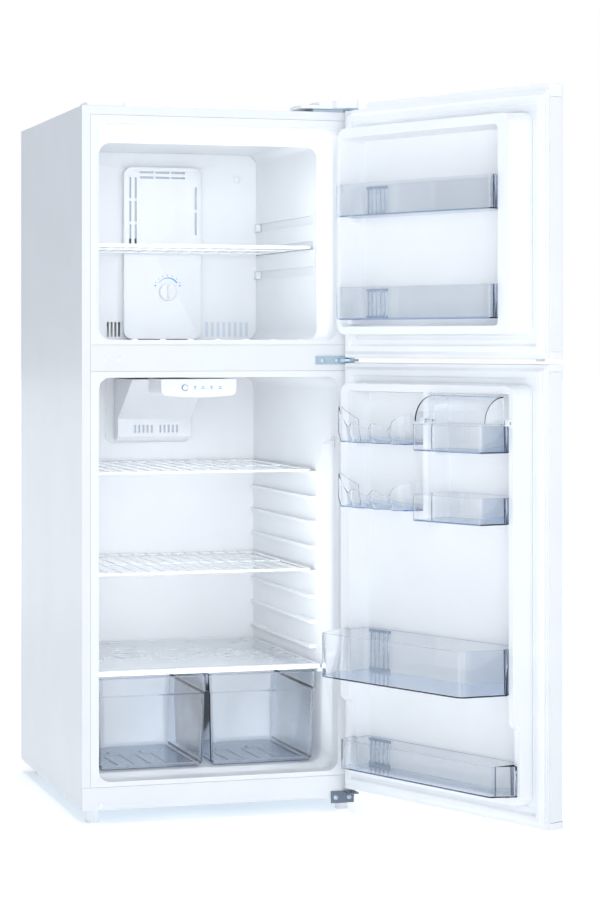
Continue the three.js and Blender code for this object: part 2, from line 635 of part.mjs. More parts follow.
function drawerCover() {
  const x0 = wallAt(linerBack) + 2;
  const x1 = CABINET_WIDTH - x0;
  const y0 = DRAWER_FRONT - 2;
  const y1 = linerBack - 8;
  const border = 10;
  const frame = block(x0, x1, y0, y1, coverLow, coverTop);
  const seat = block(x0 + border, x1 - border, y0 + border + 4, y1 - border, coverTop - GLASS - GAP,
    coverTop + 1);
  const opening = block(x0 + border + 8, x1 - border - 8, y0 + border + 12, y1 - border - 8,
    coverLow - 1, coverTop);
  piece('drawer_cover_frame', without(frame, [seat, opening]), white);
  piece('drawer_cover_glass', block(x0 + border + GAP, x1 - border - GAP, y0 + border + 4 + GAP,
    y1 - border - GAP, coverTop - GLASS, coverTop), glassy);
}

// ---- Fridge interior ----------------------------------------------------------------------
const DUCT_WIDTH = 176;
const DUCT_DEPTH = 40;
const DUCT_DROP = 155; // fridge ceiling to the duct's underside
const HOOD_REACH = 146;
const HOOD_DROP = 105;
const CONTROL_WIDTH = 170;
const CONTROL_DEPTH = 118;
const CONTROL_FRONT = 175;
const CONTROL_DROP = 47;
const BUTTON_RADIUS = 5.5;

function airDuct() {
  const side = (inset) => outline([
    [linerBack - 1 + inset * 2, fridgeTop - DUCT_DROP + inset],
    [linerBack - DUCT_DEPTH + 8, fridgeTop - DUCT_DROP + inset],
    [linerBack - DUCT_DEPTH + inset, fridgeTop - DUCT_DROP + 8 + inset],
    [linerBack - DUCT_DEPTH + inset, fridgeTop - HOOD_DROP],
    [linerBack - DUCT_DEPTH - HOOD_REACH + inset * 2, fridgeTop - WALL_TAPER - 1 - inset],
    [linerBack - 1 + inset * 2, fridgeTop - WALL_TAPER - 1 - inset],
  ]);
  const x0 = middle - DUCT_WIDTH / 2;
  const x1 = middle + DUCT_WIDTH / 2;
  const shell = slab('x', x0, x1, side(0)).subtract(slab('x', x0 + CLEAR, x1 - CLEAR, side(CLEAR)));
  const z = fridgeTop - DUCT_DROP + 17;
  const face = [linerBack - DUCT_DEPTH - 1, linerBack - DUCT_DEPTH + CLEAR + 1];
  const rows = [middle - 49, middle + 12].map((x) => slots(5, x, 10, z, 0, 4.5, 18, ...face));
  piece('air_duct_housing', without(shell, rows), white);
}

function controlBox() {
  const ceiling = fridgeTop - WALL_TAPER * 0.55 - 1;
  const low = fridgeTop - CONTROL_DROP;
  const x0 = middle - CONTROL_WIDTH / 2;
  const face = (inset) => {
    const shape = new THREE.Shape();
    shape.moveTo(x0 + inset, ceiling - inset);
    shape.lineTo(x0 + inset, low + 16);
    shape.quadraticCurveTo(x0 + inset, low + 5 + inset, x0 + 16, low + 4 + inset);
    shape.quadraticCurveTo(middle, low - 3 + inset, 2 * middle - x0 - 16, low + 4 + inset);
    shape.quadraticCurveTo(2 * middle - x0 - inset, low + 5 + inset, 2 * middle - x0 - inset, low + 16);
    shape.lineTo(2 * middle - x0 - inset, ceiling - inset);
    return shape;
  };
  const back = CONTROL_FRONT + CONTROL_DEPTH;
  const shell = slab('y', CONTROL_FRONT, back, face(0));
  const hollow = slab('y', CONTROL_FRONT + CLEAR, back + 1, face(CLEAR));
  const x = middle - 32;
  const z = fridgeTop - 25;
  const hole = rod([x, CONTROL_FRONT - 1, z], [x, CONTROL_FRONT + 6, z], BUTTON_RADIUS + 0.6, 16);
  piece('control_box', shell.subtract(hollow).subtract(hole), white);
  piece('control_button', rod([x, CONTROL_FRONT - 2.5, z], [x, CONTROL_FRONT + 9, z], BUTTON_RADIUS, 16),
    white);
  const lampZ = low + 22;
  const socket = rod([middle, back - 40, lampZ], [middle, back - 24, lampZ], 11, 12);
  const bulb = rod([middle, back - 26, lampZ], [middle, back - 2, lampZ], 14, 12);
  const stem = block(middle - 9, middle + 9, back - 38, back - 26, lampZ, ceiling - CLEAR - GAP);
  piece('interior_lamp', union([socket, bulb, stem]), glassy);
}

function doorSwitch() {
  const half = SWITCH_SIZE / 2;
  const plate = block(switchWall - CLEAR, switchWall, SWITCH_AT - 8, SWITCH_AT + 8,
    switchZ - 12, switchZ + 12);
  piece('door_switch_plate', plate.subtract(switchPocket(GAP, 8)), white);
  piece('door_switch_plunger', block(switchWall - PLUNGER_OUT, switchWall + 4, SWITCH_AT - half,
    SWITCH_AT + half, switchZ - half, switchZ + half), white);
}

// ---- Hinges -------------------------------------------------------------------------------
const hingeX = CABINET_WIDTH - PIN_INSET;
const hingeY = -PIN_AHEAD;
const lowerDoorLow = bottom + DOOR_UNDER;
const lowerDoorHigh = fridgeTop + DOOR_LAP;
const upperDoorLow = lowerDoorHigh + DOOR_GAP;
const upperDoorHigh = top + DOOR_HEAD;
const pin = (z0, z1) => rod([hingeX, hingeY, z0], [hingeX, hingeY, z1], PIN_RADIUS, 12);

function hinges() {
  const arm = 3;
  const x1 = CABINET_WIDTH - 2;
  const topZ = upperDoorHigh + 1;
  const topArm = block(hingeX - 12, x1, hingeY - 12, 16, topZ, topZ + arm);
  const topFoot = block(hingeX - 80, x1, 4, 66, top + GAP, topZ + arm);
  piece('hinge_top_bracket', union([topArm, topFoot, pin(upperDoorHigh - 14, topZ + 1)]), steel);
  const coverLowZ = topZ + arm + GAP;
  const low = slab('z', coverLowZ, coverLowZ + 7, roundedBox(hingeX - 112, x1, -12, 74, 8));
  const high = slab('z', coverLowZ, coverLowZ + 15, roundedBox(hingeX - 72, x1, -12, 70, 8));
  const nose = slab('z', coverLowZ, coverLowZ + 15, roundedBox(hingeX - 42, x1, hingeY - 14, 40, 8));
  piece('hinge_top_cover', union([low, high, nose]), white);
  piece('hinge_hole_cap', slab('z', top + GAP, top + 8, roundedBox(10, 96, 6, 70, 8)), white);

  const gapMiddle = (lowerDoorHigh + upperDoorLow) / 2;
  const plate = block(hingeX - 76, x1, -STEEL - GAP, -GAP, gapMiddle - 9, gapMiddle + 9);
  const reach = block(hingeX - 10, x1, hingeY - 10, -GAP - 1, gapMiddle - 2.5, gapMiddle + 2.5);
  const pins = pin(gapMiddle - 15, gapMiddle + 15);
  piece('hinge_middle_bracket', union([plate, reach, pins]), steel);

  const footPlate = block(hingeX - 42, x1, -STEEL - GAP, -GAP, bottom - 12, lowerDoorLow - 8);
  const shelf = block(hingeX - 14, x1, hingeY - 12, -GAP - 1, lowerDoorLow - 10, lowerDoorLow - 7);
  piece('hinge_bottom_bracket', union([footPlate, shelf, pin(lowerDoorLow - 9, lowerDoorLow + 12)]), dark);
}

// ---- Doors --------------------------------------------------------------------------------
// A door is built shut, in the cabinet's frame, inside a group that turns about the hinge pins.
function doorGroup(name) {
  const pivot = new THREE.Group();
  pivot.position.set(hingeX, hingeY, 0);
  pivot.rotation.z = THREE.MathUtils.degToRad(DOOR_ANGLE);
  const shut = new THREE.Group();
  shut.position.set(-hingeX, -hingeY, 0);
  pivot.add(shut);
  cabinet.add(pivot);
  return shut;
}

const pinBore = (z0, z1) => rod(
  [hingeX, hingeY, z0], [hingeX, hingeY, z1], PIN_RADIUS + PIN_CLEARANCE, 12);

function doorShell(name, low, high, ridge, group) {
  const skinBack = DOOR_BACK + 6;
  const inner = outline([
    [0, -skinBack], [0, -DOOR_FACE + 6], [2, -DOOR_FACE + 2], [6, -DOOR_FACE],
    [CABINET_WIDTH - 6, -DOOR_FACE], [CABINET_WIDTH - 2, -DOOR_FACE + 2],
    [CABINET_WIDTH, -DOOR_FACE + 6], [CABINET_WIDTH, -skinBack], [CABINET_WIDTH - 9, -skinBack],
    [CABINET_WIDTH - 9, -skinBack - 1.5], [CABINET_WIDTH - 1.5, -skinBack - 1.5],
    [CABINET_WIDTH - 1.5, -DOOR_FACE + 6.5], [CABINET_WIDTH - 6, -DOOR_FACE + 1.5],
    [6, -DOOR_FACE + 1.5], [1.5, -DOOR_FACE + 6.5], [1.5, -skinBack - 1.5], [9, -skinBack - 1.5],
    [9, -skinBack],
  ]);
  piece(`${name}_skin`, slab('z', low + CAP + GAP, high - CAP - GAP, inner), painted, group);

  const capPlan = roundedBox(-0.5, CABINET_WIDTH + 0.5, -DOOR_FACE - 0.5, -skinBack, 6);
  const lowCap = slab('z', low, low + CAP, capPlan, 2);
  const bores = pinBore(low - 1, low + CAP + 1);
  piece(`${name}_bottom_cap`, lowCap.subtract(bores), white, group);
  const highCap = slab('z', high - CAP, high + ridge, capPlan, 2);
  const relief = block(CABINET_WIDTH - CAP_RELIEF, CABINET_WIDTH + 1, -DOOR_FACE - 1, 0,
    high, high + ridge + 1);
  const topBore = pinBore(high - CAP - 1, high + 1);
  piece(`${name}_top_cap`, without(ridge ? highCap.subtract(relief) : highCap, [topBore]), white, group);

  const foam = block(3, CABINET_WIDTH - 3, -DOOR_FACE + 9, -skinBack - 2.5,
    low + CAP + GAP, high - CAP - GAP);
  piece(`${name}_foam`, foam, foamy, group);

  const z0 = low + SEAL_INSET;
  const z1 = high - SEAL_INSET;
  const ring = block(SEAL_INSET, CABINET_WIDTH - SEAL_INSET, -DOOR_BACK + GAP, -SEAL_CLOSED, z0, z1);
  const hole = block(SEAL_INSET + SEAL_WIDTH, CABINET_WIDTH - SEAL_INSET - SEAL_WIDTH, -DOOR_BACK, 0,
    z0 + SEAL_WIDTH, z1 - SEAL_WIDTH);
  piece(`${name}_gasket`, ring.subtract(hole), seal, group);
}

// A door liner: a flat flange, a hollow rim that reaches into the cabinet and a recess inside it.
// The rim and the recess are given by their edges furthest into the cabinet.
function doorLiner(name, low, high, rim, recess, reach, extras, shoulder, group) {
  const back = -DOOR_BACK;
  const flange = block(2, CABINET_WIDTH - 2, back - 6 + GAP, back, low + 1, high - 1);
  const ring = (at, { x0, x1, z0, z1, r }, grow, rise) => ({
    at, a0: x0 - grow, a1: x1 + grow, b0: z0 - rise, b1: z1 + rise, r,
  });
  const outer = (inset, from, to) => loft('y', [
    ring(from, rim, RIM_SLOPE - inset, RIM_SLOPE - inset), ring(to, rim, -inset, -inset),
  ], 3);
  const inner = (grow, from) => loft('y', [
    ring(from, recess, grow - RECESS_SLOPE, grow - RIM_SLOPE), ring(reach + 1, recess, grow, grow),
  ], 3);
  const bulk = flange.add(outer(0, back - 1, reach)).subtract(inner(0, back + RECESS));
  const hollow = outer(LINER, back - 8, reach - LINER).subtract(inner(LINER, back - 9));
  const shaped = shoulder ? bulk.subtract(shoulder(0)) : bulk;
  const core = shoulder ? hollow.subtract(shoulder(LINER)) : hollow;
  piece(`${name}_liner`, union([shaped, ...extras]).subtract(core), white, group);
}

// Two small ledges on the recess's sides that carry a bin.
function binLedges(recess, z) {
  const reach = RECESS_SLOPE + 5;
  return [[recess.x0 - 1, recess.x0 + reach], [recess.x1 - reach, recess.x1 + 1]].map(
    ([x0, x1]) => block(x0, x1, 4, 28, z - 9, z - GAP));
}

// Plan of a clear bin: its tail stands between the rims, its tray in front of them.
function binPlan({ tail, tray, tip, back, rim, front, radius }, inset) {
  const shape = new THREE.Shape();
  const [a0, a1] = [tail[0] + inset, tail[1] - inset];
  const [b0, b1] = [tray[0] + inset, tray[1] - inset];
  const [c0, c1] = [tip[0] + inset, tip[1] - inset];
  const y1 = front - inset;
  const r = Math.max(radius - inset, 1);
  shape.moveTo(a0, back + inset);
  shape.lineTo(a1, back + inset);
  shape.lineTo(a1, rim + inset);
  shape.lineTo(b1, rim + inset);
  shape.lineTo(c1, y1 - r);
  shape.quadraticCurveTo(c1, y1, c1 - r, y1);
  shape.lineTo(c0 + r, y1);
  shape.quadraticCurveTo(c0, y1, c0, y1 - r);
  shape.lineTo(b0, rim + inset);
  shape.lineTo(a0, rim + inset);
  return shape;
}

function bin(name, plan, low, high, group, cuts = []) {
  const outer = slab('z', low, high, binPlan(plan, 0), 3);
  const inner = slab('z', low + CLEAR, high + 1, binPlan(plan, CLEAR), 3);
  piece(name, without(outer.subtract(inner), cuts), clear, group);
}

// ---- Freezer door -------------------------------------------------------------------------
const FREE_LEDGE = 30; // width of the freezer rim on the door's free side
const RIM_EDGE = 10;
const FREEZER_BIN_HEIGHT = 68;
const FREEZER_BIN_DEPTH = 68;
const FREEZER_BIN_LOW = 42; // freezer floor to the lower bin
const FREEZER_BIN_HIGH = 258;
const BIN_FIT = 0.8;

function freezerDoor() {
  const group = doorGroup('freezer_door');
  doorShell('freezer_door', upperDoorLow, upperDoorHigh, CAP_RIDGE, group);
  const rim = {
    x0: left + RIM_CLEARANCE,
    x1: right - RIM_CLEARANCE,
    z0: freezerFloor + RIM_CLEARANCE + 2,
    z1: freezerTop - RIM_CLEARANCE,
    r: 22,
  };
  const recess = {
    x0: rim.x0 + FREE_LEDGE + 2, x1: rim.x1 - RIM_EDGE, z0: rim.z0 + 16, z1: rim.z1 - 20, r: 10,
  };
  const lows = [['lower', FREEZER_BIN_LOW], ['upper', FREEZER_BIN_HIGH]].map(
    ([name, up]) => [`freezer_bin_${name}`, freezerFloor + up]);
  const ledges = lows.flatMap(([, z]) => binLedges(recess, z));
  doorLiner('freezer_door', upperDoorLow, upperDoorHigh, rim, recess, RIM_DEPTH_FREEZER, ledges,
    null, group);
  lows.forEach(([name, z]) => bin(name, {
    tail: [recess.x0 + RECESS_SLOPE + BIN_FIT, recess.x1 - RECESS_SLOPE - BIN_FIT],
    tray: [recess.x0 + 2, recess.x1 - 2],
    tip: [recess.x0 + 4, recess.x1 - 4],
    back: -DOOR_BACK + RECESS + 2,
    rim: RIM_DEPTH_FREEZER + 1,
    front: FREEZER_BIN_DEPTH,
    radius: 8,
  }, z, z + FREEZER_BIN_HEIGHT, group));
}

// ---- Fridge door --------------------------------------------------------------------------
const HINGE_LEDGE = 26; // width of the fridge rim on the hinge side
const DIVIDER = 15;
const DIVIDER_DROP = 293.5; // fridge ceiling to the divider's foot
const BOTTOM_BIN = { up: 27, height: 61, depth: 71 };
const LARGE_BIN = { up: 227, height: 91, depth: 140 };
const SMALL_BIN = { drop: 284.5, height: 53, depth: 105 };
const DAIRY_BIN = { drop: 143.5, height: 53, depth: 105 };
const RACK_LOW = { drop: 269.5, height: 69, depth: 96 };
const RACK_HIGH = { drop: 134.5, height: 74, depth: 96 };
const DAIRY_COVER_RADIUS = 52;
const DAIRY_COVER_AT = 45;

// Cuts the wave along a can rack's front edge: high ends, two dips and a crest between them.
function rackWave(x0, x1, high, depth) {
  const wave = [[0, 0], [0.14, 0], [0.32, -27], [0.5, -12], [0.68, -27], [0.84, 0], [1, 0]];
  const points = new THREE.SplineCurve(wave.map(
    ([t, drop]) => new THREE.Vector2(x0 + t * (x1 - x0), high + drop - 1))).getPoints(24);
  const shape = outline([
    [x1 + 6, high + 30], [x0 - 6, high + 30], [x0 - 6, high - 1],
    ...points.map((p) => [p.x, Math.min(p.y, high - 1)]), [x1 + 6, high - 1],
  ]);
  return slab('y', 34, depth + 5, shape);
}

const DAIRY_PIN = 3;
const DAIRY_PIN_LEFT = 17;
const DAIRY_PIN_RIGHT = 28;

function dairyCover(x0, x1, z, group) {
  const y = DAIRY_COVER_AT;
  const quarter = (radius, past) => {
    const shape = new THREE.Shape();
    shape.moveTo(y - past, z - past);
    shape.lineTo(y + radius, z - past);
    shape.lineTo(y + radius, z);
    shape.absarc(y, z, radius, 0, Math.PI / 2, false);
    shape.lineTo(y - past, z + radius);
    return shape;
  };
  const shell = slab('x', x0, x1, quarter(DAIRY_COVER_RADIUS, 0), 6).subtract(
    slab('x', x0 + CLEAR, x1 - CLEAR, quarter(DAIRY_COVER_RADIUS - CLEAR, 1), 6));
  const hubs = [[x0, x0 + CLEAR], [x1 - CLEAR, x1]].map(([a, b]) => rod([a, y, z], [b, y, z], 5, 12));
  const pins = [[x0 - DAIRY_PIN_LEFT, x0 + 1], [x1 - 1, x1 + DAIRY_PIN_RIGHT]].map(
    ([a, b]) => rod([a, y, z], [b, y, z], DAIRY_PIN, 8));
  piece('dairy_cover', union([shell, ...hubs, ...pins]), clear, group);
}

function fridgeDoor() {
  const group = doorGroup('fridge_door');
  doorShell('fridge_door', lowerDoorLow, lowerDoorHigh, 0, group);
  const rim = {
    x0: left + RIM_CLEARANCE,
    x1: right - RIM_CLEARANCE,
    z0: fridgeFloor + RIM_CLEARANCE,
    z1: fridgeTop - RIM_CLEARANCE - 3,
    r: 22,
  };
  const recess = {
    x0: rim.x0 + RIM_EDGE + 1, x1: rim.x1 - HINGE_LEDGE, z0: rim.z0 + 10, z1: rim.z1 - 15, r: 4,
  };
  const step = fridgeFloor + RIM_STEP;
  const shoulder = (deeper) => {
    const shape = new THREE.Shape();
    const [low, high] = [RIM_LOW - deeper, RIM_DEPTH_FRIDGE + 1];
    shape.moveTo(low, fridgeFloor - 40);
    shape.lineTo(high, fridgeFloor - 40);
    shape.lineTo(high, step + deeper);
    shape.lineTo(RIM_DEPTH_FRIDGE - deeper, step + deeper);
    shape.quadraticCurveTo(RIM_DEPTH_FRIDGE - deeper, step - 24 + deeper, low, step - 26 + deeper);
    return slab('x', -1, CABINET_WIDTH + 1, shape, 6);
  };
  const dividerLow = fridgeTop - DIVIDER_DROP;
  const wallLeft = middle - DIVIDER + 1;
  const wallRight = middle + 1;
  const divider = slab('z', dividerLow, recess.z1 + 2, outline([
    [wallLeft - 10, -DOOR_BACK], [wallRight, -DOOR_BACK],
    [wallRight, RIM_DEPTH_FRIDGE], [wallLeft, RIM_DEPTH_FRIDGE],
  ]));
  const dairyTop = fridgeTop - DAIRY_BIN.drop + DAIRY_BIN.height;
  const coverZ = dairyTop + 6;
  const coverX0 = recess.x0 + RECESS_SLOPE + 1.5;
  const coverX1 = wallLeft - 20;
  const bore = rod([rim.x0, DAIRY_COVER_AT, coverZ], [wallRight + 2, DAIRY_COVER_AT, coverZ],
    DAIRY_PIN + 0.6, 12);
  const ears = [[rim.x0 + 1.5, recess.x0 - 1], [wallLeft, wallRight - 1]].map(([x0, x1]) => block(
    x0, x1, RIM_DEPTH_FRIDGE - 1, DAIRY_COVER_AT + 6, coverZ - 6, coverZ + 6).subtract(bore));

  const whole = { x0: recess.x0, x1: recess.x1 };
  const freeHalf = { x0: recess.x0, x1: wallLeft - 2 };
  const hingeHalf = { x0: wallRight - RECESS_SLOPE, x1: recess.x1 };
  const spots = [
    ['bottom_bin', fridgeFloor + BOTTOM_BIN.up, whole], ['large_bin', fridgeFloor + LARGE_BIN.up, whole],
    ['small_bin', fridgeTop - SMALL_BIN.drop, freeHalf], ['dairy_bin', fridgeTop - DAIRY_BIN.drop, freeHalf],
    ['can_rack_lower', fridgeTop - RACK_LOW.drop, hingeHalf],
    ['can_rack_upper', fridgeTop - RACK_HIGH.drop, hingeHalf],
  ];
  const ledges = spots.flatMap(([, z, span]) => binLedges(span, z));
  doorLiner('fridge_door', lowerDoorLow, lowerDoorHigh, rim, recess, RIM_DEPTH_FRIDGE,
    [divider, ...ears, ...ledges], shoulder, group);

  const back = -DOOR_BACK + RECESS + 2;
  const over = RIM_DEPTH_FRIDGE + 2;
  const tailOf = ({ x0, x1 }) => [x0 + RECESS_SLOPE + BIN_FIT, x1 - RECESS_SLOPE - BIN_FIT];
  const add = (name, size, z, shape) => bin(
    name, { back, rim: over, front: size.depth, radius: 12, ...shape }, z, z + size.height, group,
    size.wave ? [rackWave(...shape.tray, z + size.height, size.depth)] : []);
  add('bottom_bin', BOTTOM_BIN, fridgeFloor + BOTTOM_BIN.up, {
    tail: tailOf(whole), tray: [rim.x0 + 4, rim.x1 - 16], tip: [rim.x0 + 28, rim.x1 - 30], rim: RIM_LOW + 2,
  });
  add('large_bin', LARGE_BIN, fridgeFloor + LARGE_BIN.up, {
    tail: tailOf(whole), tray: [rim.x0 + 12, rim.x1 - 13], tip: [rim.x0 + 38, rim.x1 - 40], radius: 26,
  });
  const freeTray = {
    tail: tailOf(freeHalf),
    tray: [rim.x0 + 13, wallLeft - 18],
    tip: [rim.x0 + 24, wallLeft - 18],
  };
  add('small_bin', SMALL_BIN, fridgeTop - SMALL_BIN.drop, freeTray);
  add('dairy_bin', DAIRY_BIN, fridgeTop - DAIRY_BIN.drop, freeTray);
  const rackTray = {
    tail: tailOf(hingeHalf),
    tray: [wallRight + 2, recess.x1 - 5],
    tip: [wallRight + 2, recess.x1 - 7],
  };
  add('can_rack_lower', { ...RACK_LOW, wave: true }, fridgeTop - RACK_LOW.drop, rackTray);
  add('can_rack_upper', { ...RACK_HIGH, wave: true }, fridgeTop - RACK_HIGH.drop, rackTray);
  dairyCover(coverX0, coverX1, coverZ, group);
}

// ---- Assembly -----------------------------------------------------------------------------
cabinetShell();
sillAndDivider();
fridgeLiner();
freezerLiner();
cabinetFoam();
basePan();
feetAndRollers();
machineSpace();
freezerRearCover();
freezerKnob();
evaporatorAndFan();
shelves();
drawerLefts.forEach(([side, x0]) => drawer(`crisper_drawer_${side}`, x0));
drawerCover();
airDuct();
controlBox();
doorSwitch();
hinges();
freezerDoor();
fridgeDoor();

cabinet.position.set(-FOOT_X, -FOOT_Y, 0);

export default root;
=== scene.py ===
"""The looks of a top freezer refrigerator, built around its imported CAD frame."""
import json
import math

import bmesh
import bpy
from mathutils import Matrix, Vector


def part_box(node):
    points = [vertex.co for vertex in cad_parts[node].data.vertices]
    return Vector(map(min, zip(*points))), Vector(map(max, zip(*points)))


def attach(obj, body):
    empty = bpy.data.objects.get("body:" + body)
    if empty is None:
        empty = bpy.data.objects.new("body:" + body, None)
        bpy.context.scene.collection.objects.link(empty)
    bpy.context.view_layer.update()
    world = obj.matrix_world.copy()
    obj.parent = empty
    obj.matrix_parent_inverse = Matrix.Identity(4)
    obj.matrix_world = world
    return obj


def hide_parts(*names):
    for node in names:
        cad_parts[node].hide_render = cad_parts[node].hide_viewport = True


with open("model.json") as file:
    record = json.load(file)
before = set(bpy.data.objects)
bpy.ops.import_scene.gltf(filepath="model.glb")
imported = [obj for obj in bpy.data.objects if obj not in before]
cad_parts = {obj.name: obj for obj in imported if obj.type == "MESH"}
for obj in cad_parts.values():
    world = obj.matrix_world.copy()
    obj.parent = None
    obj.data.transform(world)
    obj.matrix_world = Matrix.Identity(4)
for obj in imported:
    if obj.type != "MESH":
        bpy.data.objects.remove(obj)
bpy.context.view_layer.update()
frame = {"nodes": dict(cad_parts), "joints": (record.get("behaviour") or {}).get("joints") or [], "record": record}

MM = 0.001
TURN = 2 * math.pi

# ---- The cabinet's own millimetres, from the frame ----------------------------------------
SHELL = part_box("cabinet_shell")
ORIGIN = Vector((SHELL[0].x, SHELL[0].y, 0))
WIDTH = (SHELL[1].x - SHELL[0].x) / MM
DEPTH = (SHELL[1].y - SHELL[0].y) / MM
TOP = SHELL[1].z / MM


def span(node, axis):
    """A CAD node's low and high coordinate along an axis, in the cabinet's millimetres."""
    low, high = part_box(node)
    i = "xyz".index(axis)
    return (low[i] - ORIGIN[i]) / MM, (high[i] - ORIGIN[i]) / MM


def at(x, y, z):
    """A point in the frame, from the cabinet's millimetres."""
    return ORIGIN + Vector((x, y, z)) * MM


def door_turn(joint_name):
    """The matrix that swings a piece modelled on a shut door to where the door stands at rest."""
    joint = next(j for j in frame["joints"] if j["name"] == joint_name)
    pin = Vector(joint["pos_m"])
    angle = -math.radians(joint["range_deg"][0])
    return Matrix.Translation(pin) @ Matrix.Rotation(angle, 4, "Z") @ Matrix.Translation(-pin)


DOORS = {d: door_turn(d + "_swing") for d in ("freezer_door", "fridge_door")}

SIDE_FRAME = 36.5
MIDDLE = WIDTH / 2
LEFT = SIDE_FRAME
RIGHT = WIDTH - SIDE_FRAME
FRIDGE_FLOOR = span("fridge_liner", "z")[0] + 10.1
FRIDGE_TOP = span("divider_plate", "z")[0] - 13.5
FREEZER_FLOOR = span("divider_plate", "z")[1] + 11
FREEZER_TOP = TOP - 35
WIRE_PITCH = 32


# ---- Materials ----------------------------------------------------------------------------
def new_material(name):
    material = bpy.data.materials.new(name)
    material.use_nodes = True
    nodes = material.node_tree.nodes
    return material, nodes, material.node_tree.links, nodes["Principled BSDF"]


def noise(nodes, links, scale, detail=3.0, stretch=(1, 1, 1)):
    coordinates = nodes.new("ShaderNodeTexCoord")
    mapping = nodes.new("ShaderNodeMapping")
    mapping.inputs["Scale"].default_value = stretch
    texture = nodes.new("ShaderNodeTexNoise")
    texture.inputs["Scale"].default_value = scale
    texture.inputs["Detail"].default_value = detail
    links.new(coordinates.outputs["Object"], mapping.inputs["Vector"])
    links.new(mapping.outputs["Vector"], texture.inputs["Vector"])
    return texture.outputs["Fac"]


def ramp(nodes, links, factor, low, high, socket, spread=(0.3, 0.7)):
    """Feeds a socket a value or colour that runs from low to high with factor."""
    if isinstance(low, (int, float)):
        node = nodes.new("ShaderNodeMapRange")
        node.inputs["From Min"].default_value = spread[0]
        node.inputs["From Max"].default_value = spread[1]
        node.inputs["To Min"].default_value = low
        node.inputs["To Max"].default_value = high
        links.new(factor, node.inputs["Value"])
        links.new(node.outputs["Result"], socket)
        return
    node = nodes.new("ShaderNodeValToRGB")
    node.color_ramp.elements[0].position = spread[0]
    node.color_ramp.elements[1].position = spread[1]
    node.color_ramp.elements[0].color = (*low, 1)
    node.color_ramp.elements[1].color = (*high, 1)
    links.new(factor, node.inputs["Fac"])
    links.new(node.outputs["Color"], socket)


def bump(nodes, links, shader, factor, strength, distance):
    node = nodes.new("ShaderNodeBump")
    node.inputs["Strength"].default_value = strength
    node.inputs["Distance"].default_value = distance
    links.new(factor, node.inputs["Height"])
    links.new(node.outputs["Normal"], shader.inputs["Normal"])


def opaque(name, color, roughness, metallic=0.0, grain=900, depth=0.00004, variation=0.03,
           stretch=(1, 1, 1), coat=0.0):
    """A surface with fine grain in its bump, cloudy colour and uneven gloss."""
    material, nodes, links, shader = new_material(name)
    shader.inputs["Metallic"].default_value = metallic
    shader.inputs["Coat Weight"].default_value = coat
    shader.inputs["Coat Roughness"].default_value = 0.12
    fine = noise(nodes, links, grain, 4.0, stretch)
    cloudy = noise(nodes, links, 7, 2.0)
    ramp(nodes, links, cloudy, tuple(c * (1 - variation) for c in color), color,
         shader.inputs["Base Color"])
    ramp(nodes, links, fine, roughness * 0.85, roughness * 1.2, shader.inputs["Roughness"])
    bump(nodes, links, shader, fine, 0.35, depth)
    return material


def see_through(name, tint, density, roughness=0.02, ior=1.42, ripple=0.00003,
                passed=(0.992, 0.996, 1.0), rim=(0.3, 0.5, 0.78), turning=(0.55, 0.98),
                clarity=1.0):
    """A clear moulding: light that runs far along a wall comes out in the tint's deep shade."""
    material, nodes, links, shader = new_material(name)
    facing = nodes.new("ShaderNodeLayerWeight")
    facing.inputs["Blend"].default_value = 0.5
    ramp(nodes, links, facing.outputs["Facing"], (1, 1, 1), rim, shader.inputs["Base Color"],
         turning)
    shader.inputs["Transmission Weight"].default_value = clarity
    shader.inputs["IOR"].default_value = ior
    flow = noise(nodes, links, 26, 2.0, (1, 1, 2.5))
    ramp(nodes, links, flow, roughness * 0.7, roughness * 1.4, shader.inputs["Roughness"])
    bump(nodes, links, shader, flow, 0.25, ripple)
    volume = nodes.new("ShaderNodeVolumeAbsorption")
    volume.inputs["Color"].default_value = (*tint, 1)
    volume.inputs["Density"].default_value = density
    output = nodes["Material Output"]
    links.new(volume.outputs["Volume"], output.inputs["Volume"])
    path = nodes.new("ShaderNodeLightPath")
    open_way = nodes.new("ShaderNodeBsdfTransparent")
    open_way.inputs["Color"].default_value = (*passed, 1)
    mix = nodes.new("ShaderNodeMixShader")
    links.new(path.outputs["Is Shadow Ray"], mix.inputs["Fac"])
    links.new(shader.outputs["BSDF"], mix.inputs[1])
    links.new(open_way.outputs["BSDF"], mix.inputs[2])
    links.new(mix.outputs["Shader"], output.inputs["Surface"])
    return material


PAINT = opaque("white_painted_steel", (0.86, 0.88, 0.91), 0.34, grain=420, depth=0.00001, coat=0.2)
LINER = opaque("moulded_liner", (0.9, 0.92, 0.945), 0.36, grain=150, depth=0.0000012, coat=0.1)
WHITE = opaque("white_plastic", (0.89, 0.91, 0.935), 0.36, grain=1300, depth=0.000008)
WIRE = opaque("enamelled_wire", (0.9, 0.92, 0.94), 0.22, grain=700, depth=0.00003, coat=0.4)
SEAL = opaque("seal_rubber", (0.9, 0.92, 0.945), 0.55, grain=1600, depth=0.000015)
ZINC = opaque("zinc_plated_steel", (0.56, 0.68, 0.78), 0.3, 0.85, grain=300, depth=0.00005,
              variation=0.2, stretch=(1, 1, 8))
STEEL = opaque("dark_plated_steel", (0.2, 0.24, 0.3), 0.3, 0.85, grain=300, depth=0.00002,
               variation=0.3)
BLACK = opaque("black_steel", (0.03, 0.035, 0.045), 0.38, 0.4, grain=900, variation=0.3)
RUBBER = opaque("dark_plastic", (0.05, 0.055, 0.065), 0.5, grain=1100, variation=0.25)
COMPRESSOR = opaque("compressor_paint", (0.025, 0.027, 0.03), 0.28, 0.1, grain=500, variation=0.3)
ALUMINIUM = opaque("aluminium_fin", (0.72, 0.75, 0.78), 0.35, 0.95, grain=500, stretch=(1, 1, 9))
